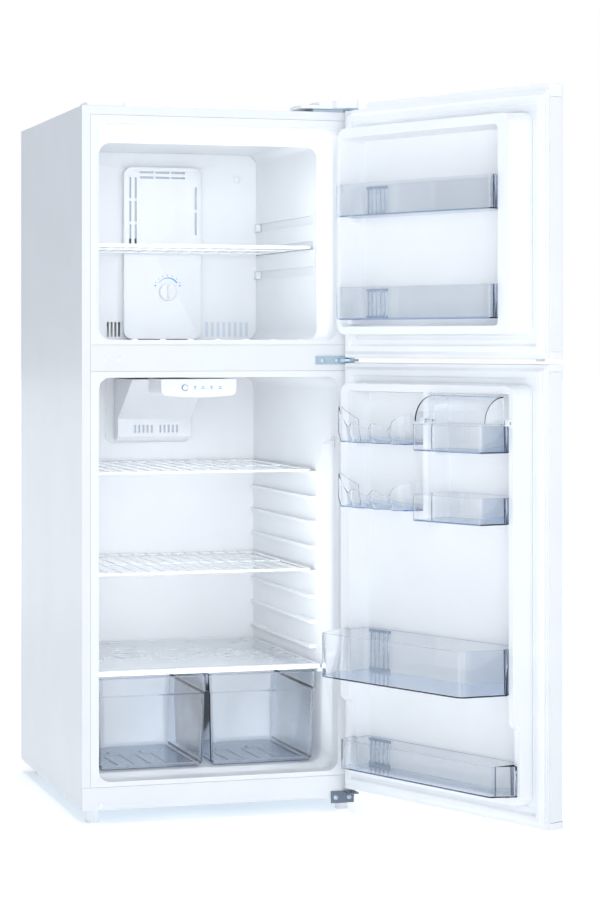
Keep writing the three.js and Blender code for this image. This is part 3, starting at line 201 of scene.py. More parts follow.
COPPER = opaque("copper_tube", (0.72, 0.36, 0.2), 0.3, 0.95, grain=260, variation=0.25)
FOAM = opaque("insulation_foam", (0.78, 0.7, 0.46), 0.85, grain=800, depth=0.0003, variation=0.12)
INK = opaque("blue_print", (0.04, 0.36, 0.72), 0.4, grain=2000, depth=0.00001)
BAFFLE = opaque("pale_baffle", (0.7, 0.77, 0.87), 0.7, grain=900, depth=0.00003)
CHROME = opaque("chrome_ring", (0.68, 0.76, 0.86), 0.14, 0.95, grain=300, depth=0.00001)
CLEAR = see_through("clear_bin_plastic", (0.16, 0.5, 0.92), 10, ripple=0.00001,
                    rim=(0.16, 0.36, 0.68),
                    turning=(0.66, 0.98))
DRAWER = see_through("clear_drawer_plastic", (0.16, 0.5, 0.92), 17, ripple=0.00001,
                     rim=(0.2, 0.38, 0.66),
                     turning=(0.58, 0.97))
CLEAR_BLUE = see_through("clear_blue_ridge", (0.1, 0.3, 0.75), 60, rim=(0.1, 0.25, 0.5))
EDGE = opaque("navy_edge", (0.2, 0.36, 0.58), 0.12, grain=400, depth=0.00001, variation=0.25)
DEEP = see_through("clear_deep_end", (0.2, 0.5, 0.9), 16, ripple=0.00001, rim=(0.12, 0.26, 0.5),
                   turning=(0.0, 0.5))
COVER = see_through("clear_cover_plastic", (0.45, 0.68, 0.9), 14)
GLASS = see_through("tempered_glass", (0.5, 0.72, 0.88), 5, 0.1, 1.5, 0.00001,
                    rim=(0.86, 0.93, 1.0),
                    clarity=0.5)


# ---- Mesh helpers -------------------------------------------------------------------------
def add_object(name, mesh, material, body, matrix=None, smooth=35):
    if matrix is not None:
        mesh.transform(matrix)
    for polygon in mesh.polygons:
        polygon.use_smooth = True
    mesh.set_sharp_from_angle(angle=math.radians(smooth))
    if not mesh.materials:
        mesh.materials.append(material)
    obj = bpy.data.objects.new(name, mesh)
    bpy.context.scene.collection.objects.link(obj)
    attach(obj, body)
    return obj


def bevel(obj, width, segments=2, angle=35):
    modifier = obj.modifiers.new("edges", "BEVEL")
    modifier.width = width * MM
    modifier.segments = segments
    modifier.limit_method = "ANGLE"
    modifier.angle_limit = math.radians(angle)
    modifier.harden_normals = True
    return obj


def mesh_of(bm, name):
    bmesh.ops.recalc_face_normals(bm, faces=bm.faces)
    mesh = bpy.data.meshes.new(name)
    bm.to_mesh(mesh)
    bm.free()
    return mesh


def cleaned(node):
    """A copy of a CAD node's mesh with its flat triangles joined into whole faces."""
    bm = bmesh.new()
    bm.from_mesh(frame["nodes"][node].data)
    bmesh.ops.remove_doubles(bm, verts=bm.verts, dist=0.00002)
    bmesh.ops.dissolve_limit(
        bm, angle_limit=math.radians(0.6), verts=bm.verts, edges=bm.edges,
        use_dissolve_boundaries=False)
    return bm


BODY_OF = {n: b for b, ns in frame["record"]["behaviour"]["bodies"].items() for n in ns}


def finished(node, material, width=0.6, segments=2):
    """A CAD node with softened edges, which stands for it."""
    obj = add_object(node + "_finished", mesh_of(cleaned(node), node + "_finished"), material,
                     BODY_OF[node])
    bevel(obj, width, segments)
    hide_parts(node)
    return obj
    return obj


def box_mesh(bm, low, high):
    """Adds a box between two corners, in the cabinet's millimetres."""
    made = bmesh.ops.create_cube(bm, size=1)["verts"]
    a, b = at(*low), at(*high)
    for v in made:
        v.co = Vector([(p + q) / 2 + c * (q - p) for p, q, c in zip(a, b, v.co)])


def blocks(name, boxes, material, body, width=0.5, matrix=None, stands_for=()):
    bm = bmesh.new()
    for low, high in boxes:
        box_mesh(bm, low, high)
    obj = add_object(name, mesh_of(bm, name), material, body, matrix)
    bevel(obj, width)
    if stands_for:
        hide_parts(*stands_for)
    return obj


def turned(name, profile, centre, axis, material, body, matrix=None, steps=32, bm_into=None):
    """Spins a profile of (radius, distance along axis), in millimetres, about an axis."""
    bm = bm_into or bmesh.new()
    rings = []
    frame_turn = Vector((0, 0, 1)).rotation_difference(Vector(axis)).to_matrix()
    base = at(*centre)
    for radius, along in profile:
        ring = []
        for i in range(steps if radius else 1):
            a = TURN * i / steps
            local = Vector((radius * math.cos(a), radius * math.sin(a), along)) * MM
            ring.append(bm.verts.new(base + frame_turn @ local))
        rings.append(ring)
    for a, b in zip(rings, rings[1:]):
        for i in range(steps):
            j = (i + 1) % steps
            corners = [a[i % len(a)], a[j % len(a)], b[j % len(b)], b[i % len(b)]]
            unique = list(dict.fromkeys(corners))
            if len(unique) > 2:
                bm.faces.new(unique)
    for ring in (rings[0], rings[-1]):
        if len(ring) > 1:
            bm.faces.new(ring)
    if bm_into:
        return None
    return add_object(name, mesh_of(bm, name), material, body, matrix)


def rounded(a0, a1, b0, b1, radius, steps=8):
    """The corners of a rounded rectangle, turning from +a to +b."""
    points = []
    for k, (ca, cb) in enumerate(((a1, b1), (a0, b1), (a0, b0), (a1, b0))):
        r = max(radius, 0.01)
        oa, ob = ca - math.copysign(r, ca - (a0 + a1) / 2), cb - math.copysign(r,
                                                                               cb - (b0 + b1) / 2)
        for i in range(steps + 1):
            angle = math.pi / 2 * (k + i / steps)
            points.append((oa + r * math.cos(angle), ob + r * math.sin(angle)))
    return points


def skin(bm, loops, close_first=False, close_last=False):
    """Joins a stack of equal loops of points, given in the frame, into a surface."""
    rings = [[bm.verts.new(p) for p in loop] for loop in loops]
    count = len(rings[0])
    for a, b in zip(rings, rings[1:]):
        for i in range(count):
            j = (i + 1) % count
            bm.faces.new((a[i], a[j], b[j], b[i]))
    if close_first:
        bm.faces.new(rings[0])
    if close_last:
        bm.faces.new(rings[-1])
    return rings


def tube(bm, points, radius, sides=12):
    """Adds a round bar through points in the cabinet's millimetres, closed at both ends."""
    path = [at(*p) for p in points]
    loops = []
    for i, p in enumerate(path):
        before = path[max(i - 1, 0)]
        after = path[min(i + 1, len(path) - 1)]
        along = (after - before).normalized()
        side = along.orthogonal().normalized() if i == 0 else (side - along
                                                               * side.dot(along)).normalized()
        up = along.cross(side)
        loops.append([p + (side * math.cos(TURN * k / sides) + up * math.sin(TURN * k / sides))
                      * radius * MM for k in range(sides)])
    skin(bm, loops, True, True)


# ---- Pieces that keep the CAD's shape, with softened edges --------------------------------
CABINET = (
    ("cabinet_shell", PAINT, 0.7), ("rear_panel", PAINT, 0.6), ("sill_panel", PAINT, 0.5),
    ("divider_plate", PAINT, 0.5), ("fridge_liner", LINER, 0.6), ("freezer_liner", LINER, 0.6),
    ("freezer_rear_cover", LINER, 0.8), ("air_duct_housing", LINER, 1.5),
    ("control_box", WHITE, 2.5),
    ("control_button", WHITE, 0.5), ("drawer_cover_frame", WHITE, 0.6),
    ("drawer_cover_glass", GLASS, 0.4),
    ("door_switch_plate", WHITE, 0.4), ("door_switch_plunger", WHITE, 1.0),
    ("hinge_top_bracket", ZINC, 0.5), ("hinge_top_cover", WHITE, 1.6),
    ("hinge_hole_cap", WHITE, 1.2),
    ("hinge_middle_bracket", ZINC, 0.5), ("hinge_bottom_bracket", STEEL, 0.5),
    ("base_pan", ZINC, 0.5),
    ("drain_pan", RUBBER, 0.8), ("compressor", COMPRESSOR, 1.5), ("refrigerant_pipe", COPPER, 0.3),
    ("cord_gland", RUBBER, 0.6), ("roller_rear_left", RUBBER, 0.6),
    ("roller_rear_right", RUBBER, 0.6),
    ("interior_lamp", COVER, 0.5),
)
for node, material, width in CABINET:
    finished(node, material, width)
for door in DOORS:
    finished(door + "_skin", PAINT, 1.0)
    finished(door + "_bottom_cap", WHITE, 0.8)
    finished(door + "_top_cap", WHITE, 0.8)
    finished(door + "_liner", LINER, 1.2, 3)


def tinted_edges(obj, door=None):
    """Gives a clear moulding's rim and its free end the deep shade of a wall seen edge on."""
    mesh = obj.data
    mesh.materials.append(EDGE)
    mesh.materials.append(DEEP)
    high = max(v.co.z for v in mesh.vertices)
    unswing = DOORS[door].inverted() if door else Matrix.Identity(4)
    middle = sum(((unswing @ v.co).x for v in mesh.vertices), 0.0) / len(mesh.vertices)
    for face in mesh.polygons:
        place, normal = unswing @ face.center, unswing.to_3x3() @ face.normal
        if normal.z > 0.9 and face.center.z > high - 0.0004:
            face.material_index = 1
        elif door and abs(normal.x) > 0.9 and place.x < middle - 0.08:
            face.material_index = 2


for node, door in (("freezer_bin_lower", "freezer_door"), ("freezer_bin_upper", "freezer_door"),
                   ("bottom_bin", "fridge_door"), ("large_bin", "fridge_door"),
                   ("small_bin", "fridge_door"),
                   ("dairy_bin", "fridge_door")):
    tinted_edges(finished(node, CLEAR, 0.5), door)
for node in ("crisper_drawer_left", "crisper_drawer_right"):
    tinted_edges(finished(node, DRAWER, 0.5))
finished("dairy_cover", COVER, 0.5)
HIDDEN = {"cabinet_foam": FOAM, "freezer_door_foam": FOAM, "fridge_door_foam": FOAM,
          "evaporator": ALUMINIUM, "fan_motor": BLACK, "fan_blade": RUBBER}
for node, material in HIDDEN.items():
    data = frame["nodes"][node].data
    for i in range(len(data.materials)):
        data.materials[i] = material
    if not data.materials:
        data.materials.append(material)


# ---- Door gaskets: magnet bulb, outer bead and inner lip, mitred at the corners -------------
GASKET = ((0, -11.6), (0, -9.2), (1.2, -7.6), (2.6, -6.6), (3.4, -3.4), (5.2, -1.6), (8, -1.05),
          (13, -1.05),
          (15.8, -1.6), (17.6, -3.4), (18.4, -6.6), (20.4, -8.2), (24, -9.0), (30, -9.5),
          (31.2, -10.4),
          (31.2, -11.6))
for door in DOORS:
    z0, z1 = span(door + "_gasket", "z")
    bm = bmesh.new()
    loops = []
    for inward, depth in GASKET:
        x0, x1, a, b = 9 + inward, 591 - inward, z0 + inward, z1 - inward
        loops.append([at(x, depth, z) for x, z in ((x0, a), (x1, a), (x1, b), (x0, b))])
    rings = skin(bm, loops)
    for i in range(4):
        j = (i + 1) % 4
        bm.faces.new((rings[-1][i], rings[-1][j], rings[0][j], rings[0][i]))
    gasket = add_object(door + "_gasket_bulb", mesh_of(bm, door + "_gasket_bulb"), SEAL, door,
                        DOORS[door], 50)
    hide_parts(door + "_gasket")


# ---- Cold knob ------------------------------------------------------------------------------
def cold_knob():
    """The freezer's temperature knob: a round skirt with a grip bar across it."""
    kx = sum(span("freezer_temperature_knob", "x")) / 2
    kz = sum(span("freezer_temperature_knob", "z")) / 2
    y0, y1 = span("freezer_temperature_knob", "y")
    r = (span("freezer_temperature_knob", "x")[1] - span("freezer_temperature_knob", "x")[0]) / 2
    bm = bmesh.new()
    turned("", [(0, 0), (4, 0), (4, -13.4), (r - 0.4, -13.6), (r - 0.1, -14.4), (r - 0.3, -20),
                (r - 1.2, -21.4),
                (r - 2.6, -22.2), (r - 5, -22.6), (0, -23.2)], (kx, y1, kz), (0, 1, 0), None, None,
           bm_into=bm)
    low, high = kz - r + 5, kz + r - 5
    loops = []
    for y, half, cut in ((y1 - 22, 3.4, 0), (y0 + 2.6, 2.6, 0.6), (y0 + 1.0, 2.0, 1.4),
                         (y0 + 0.1, 1.0, 2.6)):
        loops.append([at(x, y, z) for x, z in rounded(kx - half, kx + half, low + cut, high - cut,
                                                      half * 0.9, 5)])
    skin(bm, loops, True, True)
    obj = add_object("cold_knob", mesh_of(bm, "cold_knob"), WHITE, "temperature_knob",
                     smooth=40)
    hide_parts("freezer_temperature_knob")


cold_knob()


# ---- Can racks: scalloped cups in front of a low back rail ----------------------------------
def can_rack(node):
    """A wavy front wall that rises into lobes at both ends, with a floor and a low back rail."""
    z0, z1 = span(node, "z")
    height = z1 - z0
    x0, x1, back, front = 303.5, 522, -7, 96
    steps = 66
    wall = 2.4

    def plan(t):
        x = x1 + (x0 - x1) * t
        wave = 5.0 * math.cos(TURN * 3.6 * t - 0.5)
        start, end = max(0.0, 1 - t / 0.1), max(0.0, 1 - (1 - t) / 0.06)
        y = front - 7 + wave - start ** 2 * 34 - end ** 2 * 26
        return x, min(y, front - 0.6)

    def top(t):
        crest = 0.48 + 0.09 * math.cos(TURN * 3.6 * t - 0.5)
        lobe = 0.5 * math.exp(-((t - 0.05) / 0.085) ** 2)
        rise = 0.5 * max(0.0, (t - 0.82) / 0.18) ** 1.1
        return z0 + height * min(0.995, crest + lobe + rise)

    points = [plan(i / steps) for i in range(steps + 1)]
    points = [(x1, back + 26)] + points + [(x0, back + 26)]
    tops = [top(0.0) - height * 0.3] + [top(i / steps) for i in range(steps + 1)] + [top(1.0)]

    def offset(i, d):
        a, b = points[max(i - 1, 0)], points[min(i + 1, len(points) - 1)]
        dx, dy = b[0] - a[0], b[1] - a[1]
        length = math.hypot(dx, dy)
        return points[i][0] - dy / length * -d, points[i][1] + dx / length * -d

    bm = bmesh.new()
    rows = []
    for i in range(len(points)):
        x, y = points[i]
        xi, yi = offset(i, -wall)
        lean = 7
        ring = [(x, y - lean * 0.9, z0), (x, y, z0 + height * 0.3), (x, y, tops[i] - 0.6),
                ((x + xi) / 2, (y + yi) / 2, tops[i]), (xi, yi, tops[i] - 0.6),
                (xi, yi, z0 + height * 0.3),
                (xi, yi - lean * 0.9, z0 + wall), (xi, back + 8, z0 + wall), (x, back + 8, z0)]
        rows.append([at(px, py, pz) for px, py, pz in ring])
    skin(bm, rows, True, True)
    rail = [(x0, back, z0), (x1, back, z0), (x1, back, z0 + 9), (x0, back, z0 + 9)]
    loops = [[at(x, y + d, z) for x, y, z in rail] for d in (0, 7.7)]
    skin(bm, loops, True, True)
    obj = add_object(node + "_scalloped", mesh_of(bm, node + "_scalloped"), CLEAR, node,
                     DOORS["fridge_door"], 50)
    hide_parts(node)


can_rack("can_rack_lower")
can_rack("can_rack_upper")


# ---- Slotted clips on the bins' back walls, at the hinge end --------------------------------
def bin_clip(node, door, x1, back):
    z0, z1 = span(node, "z")
    bars = [((x1 - 62 + 13 * k, back, z0 + 9.2),
             (x1 - 58 + 13 * k, back + 2, z1 - 8.2)) for k in range(5)]
    bars.append(((x1 - 66, back, z1 - 8), (x1 - 2, back + 2, z1 - 2.5)))
    bars.append(((x1 - 66, back, z0 + 3.2), (x1 - 2, back + 2, z0 + 9)))
    clip = blocks(node + "_clip", bars, DEEP, node, 0.4, DOORS[door])
    return clip


for node, door, x1 in (("freezer_bin_lower", "freezer_door", 520),
                       ("freezer_bin_upper", "freezer_door", 520),
                       ("bottom_bin", "fridge_door", 512), ("large_bin", "fridge_door", 512)):
    bin_clip(node, door, x1, -3.8)


# ---- Plugs and stops under the doors, near their free side ----------------------------------
for name, door, x, y, radius, height in (("freezer_door_plug", "freezer_door", 46, -37, 9, 4),
                                         ("fridge_door_stop", "fridge_door", 62, -37, 7, 5.5),
                                         ("fridge_door_plug", "fridge_door", 24, -37, 8.5, 3.5)):
    low = span(door + "_bottom_cap", "z")[0]
    turned(name, [(0, -0.6), (radius, -0.6), (radius, height * 0.6), (radius - 1, height - 0.3),
                  (radius - 2.2, height), (0, height)], (x, y, low), (0, 0, -1), WHITE, door,
           DOORS[door], 28)


# ---- Wire shelves: round bars, crimped over the end bars -----------------------------------
def wire_shelf(node, pitch, front_radius):
    x0, x1 = span(node, "x")
    y0, y1 = span(node, "y")
    z0, z1 = span(node, "z")
    front, back = y0 + front_radius, y1 - 3
    z = (z0 + z1) / 2
    bm = bmesh.new()
    r = 3
    loop = [(x0 + r, front + 14, z), (x0 + r, back - 10, z), (x0 + r + 3, back - 3, z),
            (x0 + r + 10, back, z),
            (x1 - r - 10, back, z), (x1 - r - 3, back - 3, z), (x1 - r, back - 10, z),
            (x1 - r, front + 14, z),
            (x1 - r - 3, front + 4, z), (x1 - r - 12, front, z), (x0 + r + 12, front, z),
            (x0 + r + 3, front + 4, z), (x0 + r, front + 14, z)]
    tube(bm, loop, r)
    if front_radius > r:
        tube(bm, [(x0 + 14, front, z), (x1 - 14, front, z)], front_radius - 0.2, 14)
    middle_bar = (front + back) / 2
    tube(bm, [(x0 + r, middle_bar, z - 0.6), (x1 - r, middle_bar, z - 0.6)], 2.0, 10)
    count = int((x1 - x0 - pitch) // pitch)
    first = (x0 + x1 - (count - 1) * pitch) / 2
    for i in range(count):
        x = first + i * pitch
        tube(bm, [(x, front - front_radius * 0.5, z + 1.2), (x, front + 6, z + 2.1),
                  (x, back - 4, z + 2.1),
                  (x, back + 1, z + 1)], 1.4, 8)
    obj = add_object(node + "_wires", mesh_of(bm, node + "_wires"), WIRE, BODY_OF[node],
                     smooth=60)
    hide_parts(node)


for node in ("fridge_shelf_upper", "fridge_shelf_lower"):
    wire_shelf(node, WIRE_PITCH, 3)
wire_shelf("freezer_shelf", WIRE_PITCH, 4)


# ---- Levelling feet: ribbed skirts on round pads -------------------------------------------
def ribbed_foot(node):
    x0, x1 = span(node, "x")
    y0, y1 = span(node, "y")
    z1 = span(node, "z")[1]
    cx, cy, r = (x0 + x1) / 2, (y0 + y1) / 2, (x1 - x0) / 2
    bm = bmesh.new()
    loops = []
    for z, radius, rib in ((0, r - 1.2, 0), (0.9, r - 0.1, 0), (5, r - 0.1, 0), (6, r - 0.9, 0.5),
                           (9, r - 1.2, 0.7),
                           (z1 - 3.5, r - 1.6, 0.7), (z1 - 1.2, r - 2, 0.3),
                           (z1 - 0.3, r - 3.4, 0)):
        loops.append([at(cx + (radius + rib * math.cos(TURN * k / 4)) * math.cos(TURN * k / 96),
                         cy + (radius + rib * math.cos(TURN * k / 4)) * math.sin(TURN * k / 96), z)
                      for k in range(96)])
    skin(bm, loops, True, True)
    obj = add_object(node + "_ribbed", mesh_of(bm, node + "_ribbed"), WHITE, BODY_OF[node],
                     smooth=50)
    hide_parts(node)


ribbed_foot("levelling_foot_front_left")
ribbed_foot("levelling_foot_front_right")


# ---- Small things on the cabinet's front and inside ----------------------------------------
def screw(name, centre, axis, radius, material, body, matrix=None):
    """A low domed screw head with a round recess in its top."""
    return turned(name, [(0, -0.4), (radius, -0.4), (radius, 0.3), (radius * 0.9, 0.8),
                         (radius * 0.6, 1.2),
                        (radius * 0.34, 1.35), (radius * 0.3, 0.5), (0, 0.3)], centre, axis,
                  material, body,
                 matrix, 24)


for i, x in enumerate((50.5, 81)):
    turned(f"divider_plug_{i}",
           [(0, -0.5), (5.4, -0.5), (5.4, 0.5), (5.0, 1.0), (4.2, 1.25), (2.4, 1.35), (0, 1.4)],
           (x, -0.1, 972.8), (0, -1, 0), WHITE, "cabinet")
turned("sill_screw_cap", [(0, -0.5), (6.2, -0.5), (6.2, 0.6), (5.6, 1.2), (4, 1.6), (0, 1.8)],
       (41.7, -0.1, 38.2), (0, -1, 0), WHITE, "cabinet")
for i, (x, z) in enumerate(((528, 969), (561, 969))):
    screw(f"middle_hinge_screw_{i}", (x, -3.4, z), (0, -1, 0), 5.4, ZINC, "cabinet")
for i, x in enumerate((557, 587)):
    screw(f"bottom_hinge_screw_{i}", (x, -3.4, 28), (0, -1, 0), 5, ZINC,
          "cabinet")

PANEL_FACE = DEPTH - 113
turned("rear_cover_screw_cap",
       [(0, -0.3), (8.6, -0.3), (8.6, 0.8), (7.8, 1.6), (5.5, 2.1), (0, 2.3)],
       (502, span("freezer_rear_cover", "y")[1] - 3.4, 1394), (0, -1, 0), WHITE, "cabinet")

# A rib on the back wall frames the air duct, and low bumps stand along the freezer's floor
LINER_WALL = 618.8  # the fridge liner's back wall
DUCT_FRAME = ((192, 922), (192, 790), (194, 781), (199, 774.5), (207, 771),
              (380, 771), (388, 774), (393, 780), (395, 790), (395, 922))
FLOOR_BUMPS = 8
bm = bmesh.new()
tube(bm, [(x, LINER_WALL, z) for x, z in DUCT_FRAME], 2.2, 10)
add_object("duct_frame_rib", mesh_of(bm, "duct_frame_rib"), LINER, "cabinet",
           smooth=60)
bm = bmesh.new()
for i in range(FLOOR_BUMPS):
    turned("", [(0, -0.6), (7.5, -0.6), (7.2, 0.6), (5.2, 1.7), (2.6, 2.2), (0, 2.3)],
           (76 + 62 * i, 103, FREEZER_FLOOR), (0, 0, 1), None, None, steps=20, bm_into=bm)
add_object("freezer_floor_bumps", mesh_of(bm, "freezer_floor_bumps"), LINER, "cabinet")

KNOB_X = sum(span("freezer_temperature_knob", "x")) / 2
KNOB_Z = sum(span("freezer_temperature_knob", "z")) / 2


def arc_print():
    """The blue scale over the cold knob: an arc that widens, with ticks and end dots."""
    bm = bmesh.new()
    y = PANEL_FACE - 0.05
    cz = KNOB_Z + 6

    def ring(angle, radius):
        a = math.radians(angle)
        return at(KNOB_X + radius * math.cos(a), y, cz + radius * math.sin(a))

    def patch(corners):
        front = [bm.verts.new(c) for c in corners]
        back = [bm.verts.new(c + Vector((0, 0.00004, 0))) for c in corners]
        bm.faces.new(front)
        bm.faces.new(back[::-1])
        for i in range(len(front)):
            j = (i + 1) % len(front)
            bm.faces.new((front[i], front[j], back[j], back[i]))

    steps = 16
    for i in range(steps):
        a0, a1 = 146 - 112 * i / steps, 146 - 112 * (i + 1) / steps
        w0, w1 = 0.6 + 2.8 * i / steps, 0.6 + 2.8 * (i + 1) / steps
        patch([ring(a0, 25.5), ring(a0, 25.5 + w0), ring(a1, 25.5 + w1), ring(a1, 25.5)])
    for i in range(7):
        a = 152 - 124 * i / 6
        patch([ring(a + 1.3, 31), ring(a + 1.3, 34), ring(a - 1.3, 34), ring(a - 1.3, 31)])
    for a in (164, 16):
        x, z = KNOB_X + 31 * math.cos(math.radians(a)), cz + 31 * math.sin(math.radians(a))
        patch([at(x + 2 * math.cos(TURN * k / 14), y,
                  z + 2 * math.sin(TURN * k / 14)) for k in range(14)])
    return add_object("cold_scale_print", mesh_of(bm, "cold_scale_print"), INK, "cabinet")


arc_print()


# Pale baffles close behind the air slots, so that only the drain-side slots read as dark
def baffle(name, x0, x1, z0, z1, y):
    bm = bmesh.new()
    box_mesh(bm, (x0, y, z0), (x1, y + 2, z1))
    bevel(add_object(name, mesh_of(bm, name), BAFFLE, "cabinet"), 0.5)


DUCT_FACE = span("air_duct_housing", "y")[1] - 40
blocks("cover_edge_seal",
       [((50, 583.6, 1448), (550, 586, 1453.5)), ((50, 583.6, 1012.5), (550, 586, 1017)),
                           ((49.4, 583.6, 1013), (53, 586, 1453)),
        ((547, 583.6, 1013), (550.6, 586, 1453))],
       WHITE, "cabinet", 0.3)
blocks("groove_stops", [((544, 561, z), (556.2, 582.8, z + 18.6)) for z in (1157.2, 1269.2)]
       + [((43.8, 561, z), (56, 582.8, z + 18.6)) for z in (1157.2, 1269.2)], WHITE, "cabinet",
       1.6)
baffle("duct_slot_baffle", 244, 362, 790, 819, DUCT_FACE + 5.2)
baffle("freezer_top_baffle", 228, 400, 1250, 1412, PANEL_FACE + 5)
baffle("freezer_low_baffle", 400, 546, 1018, 1062, span("freezer_rear_cover", "y")[1] - 0.4 - 2)

# Drawer floors: two moulded slot outlines and four small pips each
for side in ("left", "right"):
    node = "crisper_drawer_" + side
    x0, x1 = span(node, "x")
    y0 = span(node, "y")[0]
    z = span(node, "z")[0] + 2.9
    bm = bmesh.new()
    for k in (0, 1):
        cx = x0 + (x1 - x0) * (0.32 + 0.3 * k)
        loop = [(x, y, z) for x, y in rounded(cx - 19, cx + 19, y0 + 60, y0 + 210, 8, 4)]
        tube(bm, loop + loop[:1], 0.9, 8)
        for py in (y0 + 40, y0 + 232):
            turned("", [(0, -0.5), (3.4, -0.5), (3.4, 0.4), (2.4, 1.1), (0, 1.3)], (cx, py, z),
                   (0, 0, 1), None,
                   None, steps=16, bm_into=bm)
    y1 = span(node, "y")[1]
    z0, z1 = span(node, "z")
    rim_loop = [(x, y, z1 - 1.5) for x, y in rounded(x0 + 1.5, x1 - 1.5, y0 + 1.5, y1 - 1.5, 12.5,
                                                     5)]
    tube(bm, rim_loop + rim_loop[:1], 1.4, 8)
    foot_loop = [(x, y, z0 + 1.2) for x, y in rounded(x0 + 12.8, x1 - 12.8, y0 + 12.8, y1 - 12.8, 9,
                                                      5)]
    tube(bm, foot_loop + foot_loop[:1], 1.1, 8)
    for edge in (x0 + 3.4, x1 - 3.4):
        inward = 9.2 if edge < (x0 + x1) / 2 else -9.2
        tube(bm, [(edge, y0 + 4.4, z1 - 6), (edge + inward * 0.35, y0 + 7.6, z1 - 46),
                  (edge + inward * 0.6, y0 + 10, z0 + 18), (edge + inward, y0 + 13.4, z0 + 3)], 1.0,
             8)
    add_object(node + "_floor_slots", mesh_of(bm, node + "_floor_slots"), CLEAR_BLUE,
               "crisper_" + side)

# Control panel: a ring round the button and four plain marks
BUTTON_X = sum(span("control_button", "x")) / 2
BUTTON_Z = sum(span("control_button", "z")) / 2
PANEL_Y = span("control_box", "y")[0]
turned("button_ring",
       [(6.3, 0.6), (6.3, -0.9), (6.9, -1.3), (7.6, -1.3), (8.2, -0.8), (8.2, 0.6), (6.3, 0.6)],
       (BUTTON_X, PANEL_Y, BUTTON_Z), (0, 1, 0), CHROME, "cabinet", steps=40)
for i, x in enumerate((291, 309, 328.5, 348)):
    bm = bmesh.new()
    for k in range(3):
        size = (2.9, 1.8, 1.4)[k]
        dx = (0, 2.2, -2.2)[k] if i % 2 else 0
        dz = (1.5, -2.2, -2.2)[k] if i % 2 else (2.4, -0.4, -3.0)[k]
        box_mesh(bm, (x + dx - size, PANEL_Y - 0.25, BUTTON_Z + dz - 0.7),
                 (x + dx + size, PANEL_Y + 0.4,
                 BUTTON_Z + dz + 0.7))
    add_object(f"panel_mark_{i}", mesh_of(bm, f"panel_mark_{i}"), INK, "cabinet")

# ---- The studio's floor, light and camera ---------------------------------------------------
FLOOR_RADII = (60, 12, 3)  # metres
FLOOR_SIDES = 48
FLOOR_DROP = 0.0005  # just under the feet
GLOW_NEAR, GLOW_FAR = 0.42, 0.95  # the floor's own light, and the distances it rises between
GLOW_REACH = (1.6, 5.0)


def studio():
    """A wide pale floor that brightens away from the object, under a sky lit from one side."""
    bm = bmesh.new()
    rings = [[bm.verts.new(Vector((r * math.cos(TURN * k / FLOOR_SIDES),
                                   r * math.sin(TURN * k / FLOOR_SIDES), -FLOOR_DROP)))
              for k in range(FLOOR_SIDES)] for r in FLOOR_RADII]
    for a, b in zip(rings, rings[1:]):
        for k in range(FLOOR_SIDES):
            j = (k + 1) % FLOOR_SIDES
            bm.faces.new((a[k], a[j], b[j], b[k]))
    bm.faces.new(rings[-1])
    floor_material, nodes, links, shader = new_material("studio_floor")
    shader.inputs["Base Color"].default_value = (0.97, 0.975, 0.98, 1)
    shader.inputs["Roughness"].default_value = 0.9
    shader.inputs["Emission Color"].default_value = (0.97, 0.985, 1, 1)
    coordinates = nodes.new("ShaderNodeTexCoord")
    distance = nodes.new("ShaderNodeVectorMath")
    distance.operation = "LENGTH"
    links.new(coordinates.outputs["Object"], distance.inputs[0])
    ramp(nodes, links, distance.outputs["Value"], GLOW_NEAR, GLOW_FAR,
         shader.inputs["Emission Strength"], GLOW_REACH)
    mesh = bpy.data.meshes.new("studio_floor")
    bm.to_mesh(mesh)
    bm.free()
    mesh.materials.append(floor_material)
    floor = bpy.data.objects.new("studio_floor", mesh)
    bpy.context.scene.collection.objects.link(floor)
    world = bpy.data.worlds.new("studio")
    world.use_nodes = True
    links = world.node_tree.links
    sky = world.node_tree.nodes["Background"]
    sky.inputs["Strength"].default_value = WORLD
    direction = world.node_tree.nodes.new("ShaderNodeTexCoord")
    split = world.node_tree.nodes.new("ShaderNodeSeparateXYZ")
    links.new(direction.outputs["Generated"], split.inputs["Vector"])
    ramp(world.node_tree.nodes, links, split.outputs["X"], SHADY, BRIGHT, sky.inputs["Color"],
         SKY_SPREAD)
    backdrop = world.node_tree.nodes.new("ShaderNodeBackground")
    backdrop.inputs["Color"].default_value = (1, 1, 1, 1)
    path = world.node_tree.nodes.new("ShaderNodeLightPath")
    mix = world.node_tree.nodes.new("ShaderNodeMixShader")
    links.new(path.outputs["Is Camera Ray"], mix.inputs["Fac"])
    links.new(sky.outputs["Background"], mix.inputs[1])
    links.new(backdrop.outputs["Background"], mix.inputs[2])
    links.new(mix.outputs["Shader"], world.node_tree.nodes["World Output"].inputs["Surface"])
    bpy.context.scene.world = world


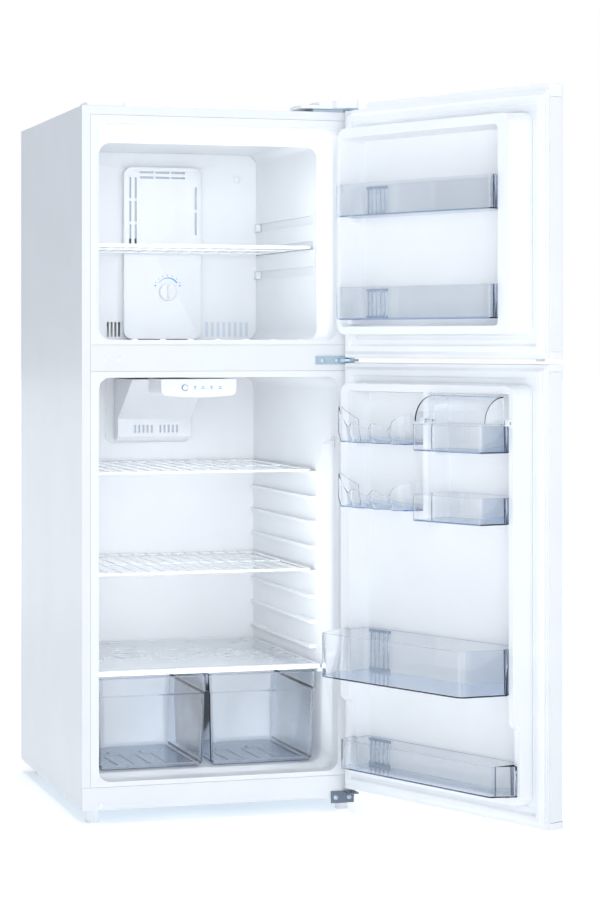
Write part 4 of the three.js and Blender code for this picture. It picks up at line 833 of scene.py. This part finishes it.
def area_light(name, place, target, size, power, color, spread=180):
    data = bpy.data.lights.new(name, "AREA")
    data.shape = "RECTANGLE"
    data.size, data.size_y = size
    data.energy = power
    data.color = color
    data.spread = math.radians(spread)
    obj = bpy.data.objects.new(name, data)
    obj.location = Vector(place)
    obj.rotation_euler = (Vector(target) - Vector(place)).to_track_quat("-Z", "Y").to_euler()
    obj.visible_camera = False
    bpy.context.scene.collection.objects.link(obj)


WORLD = 0.485
SHADY = (0.66, 0.73, 0.82)
BRIGHT = (0.95, 0.975, 1.0)
SKY_SPREAD = (0.0, 0.75)
NEUTRAL = (0.98, 0.99, 1)
COOL = (0.97, 0.985, 1)
COLD = (0.96, 0.98, 1)
studio()
# Each light: its place, what it faces, its size in metres, its power and its colour
area_light("key", (1.2, -4.6, 3.2), (0.3, 0.1, 0.8), (2.6, 2.6), 26, NEUTRAL)
area_light("front", (-0.6, -4.2, 1.3), (0.3, 0.2, 0.8), (1.8, 1.8), 43, COOL)
area_light("overhead", (0.2, 0.42, 3.3), (0.28, 0.36, 1.5), (1.6, 1.6), 14, COOL, 90)
area_light("door_fill", (-0.28, -1.05, 0.85), (0.72, -0.3, 0.86), (0.5, 1.4), 0.42, NEUTRAL, 60)
MOUTHS = (("fridge_fill", FRIDGE_FLOOR + 30, FRIDGE_TOP - 150, 1.08),
          ("freezer_fill", FREEZER_FLOOR + 20, FREEZER_TOP - 20, 0.66))
for name, low, high, power in MOUTHS:
    z = (low + high) / 2
    area_light(name, at(MIDDLE, 30, z), at(MIDDLE, 400, z),
               ((RIGHT - LEFT) * 0.9 * MM, (high - low) * MM), power, COLD)

SENSOR_WIDTH = 36
LENS = 97.697
SHIFT = (0.0389, -0.1201)
CAMERA_PLACE = (-1.111075, -5.014442, 1.008573)
CAMERA_HEADING = -16.54477
camera_data = bpy.data.cameras.new("camera")
camera_data.sensor_width = SENSOR_WIDTH
camera_data.lens = LENS
camera_data.shift_x, camera_data.shift_y = SHIFT
camera = bpy.data.objects.new("camera", camera_data)
camera.location = CAMERA_PLACE
camera.rotation_euler = (math.radians(90), 0, math.radians(CAMERA_HEADING))
bpy.context.scene.collection.objects.link(camera)
bpy.context.scene.camera = camera
bpy.context.scene.view_settings.view_transform = "Standard"
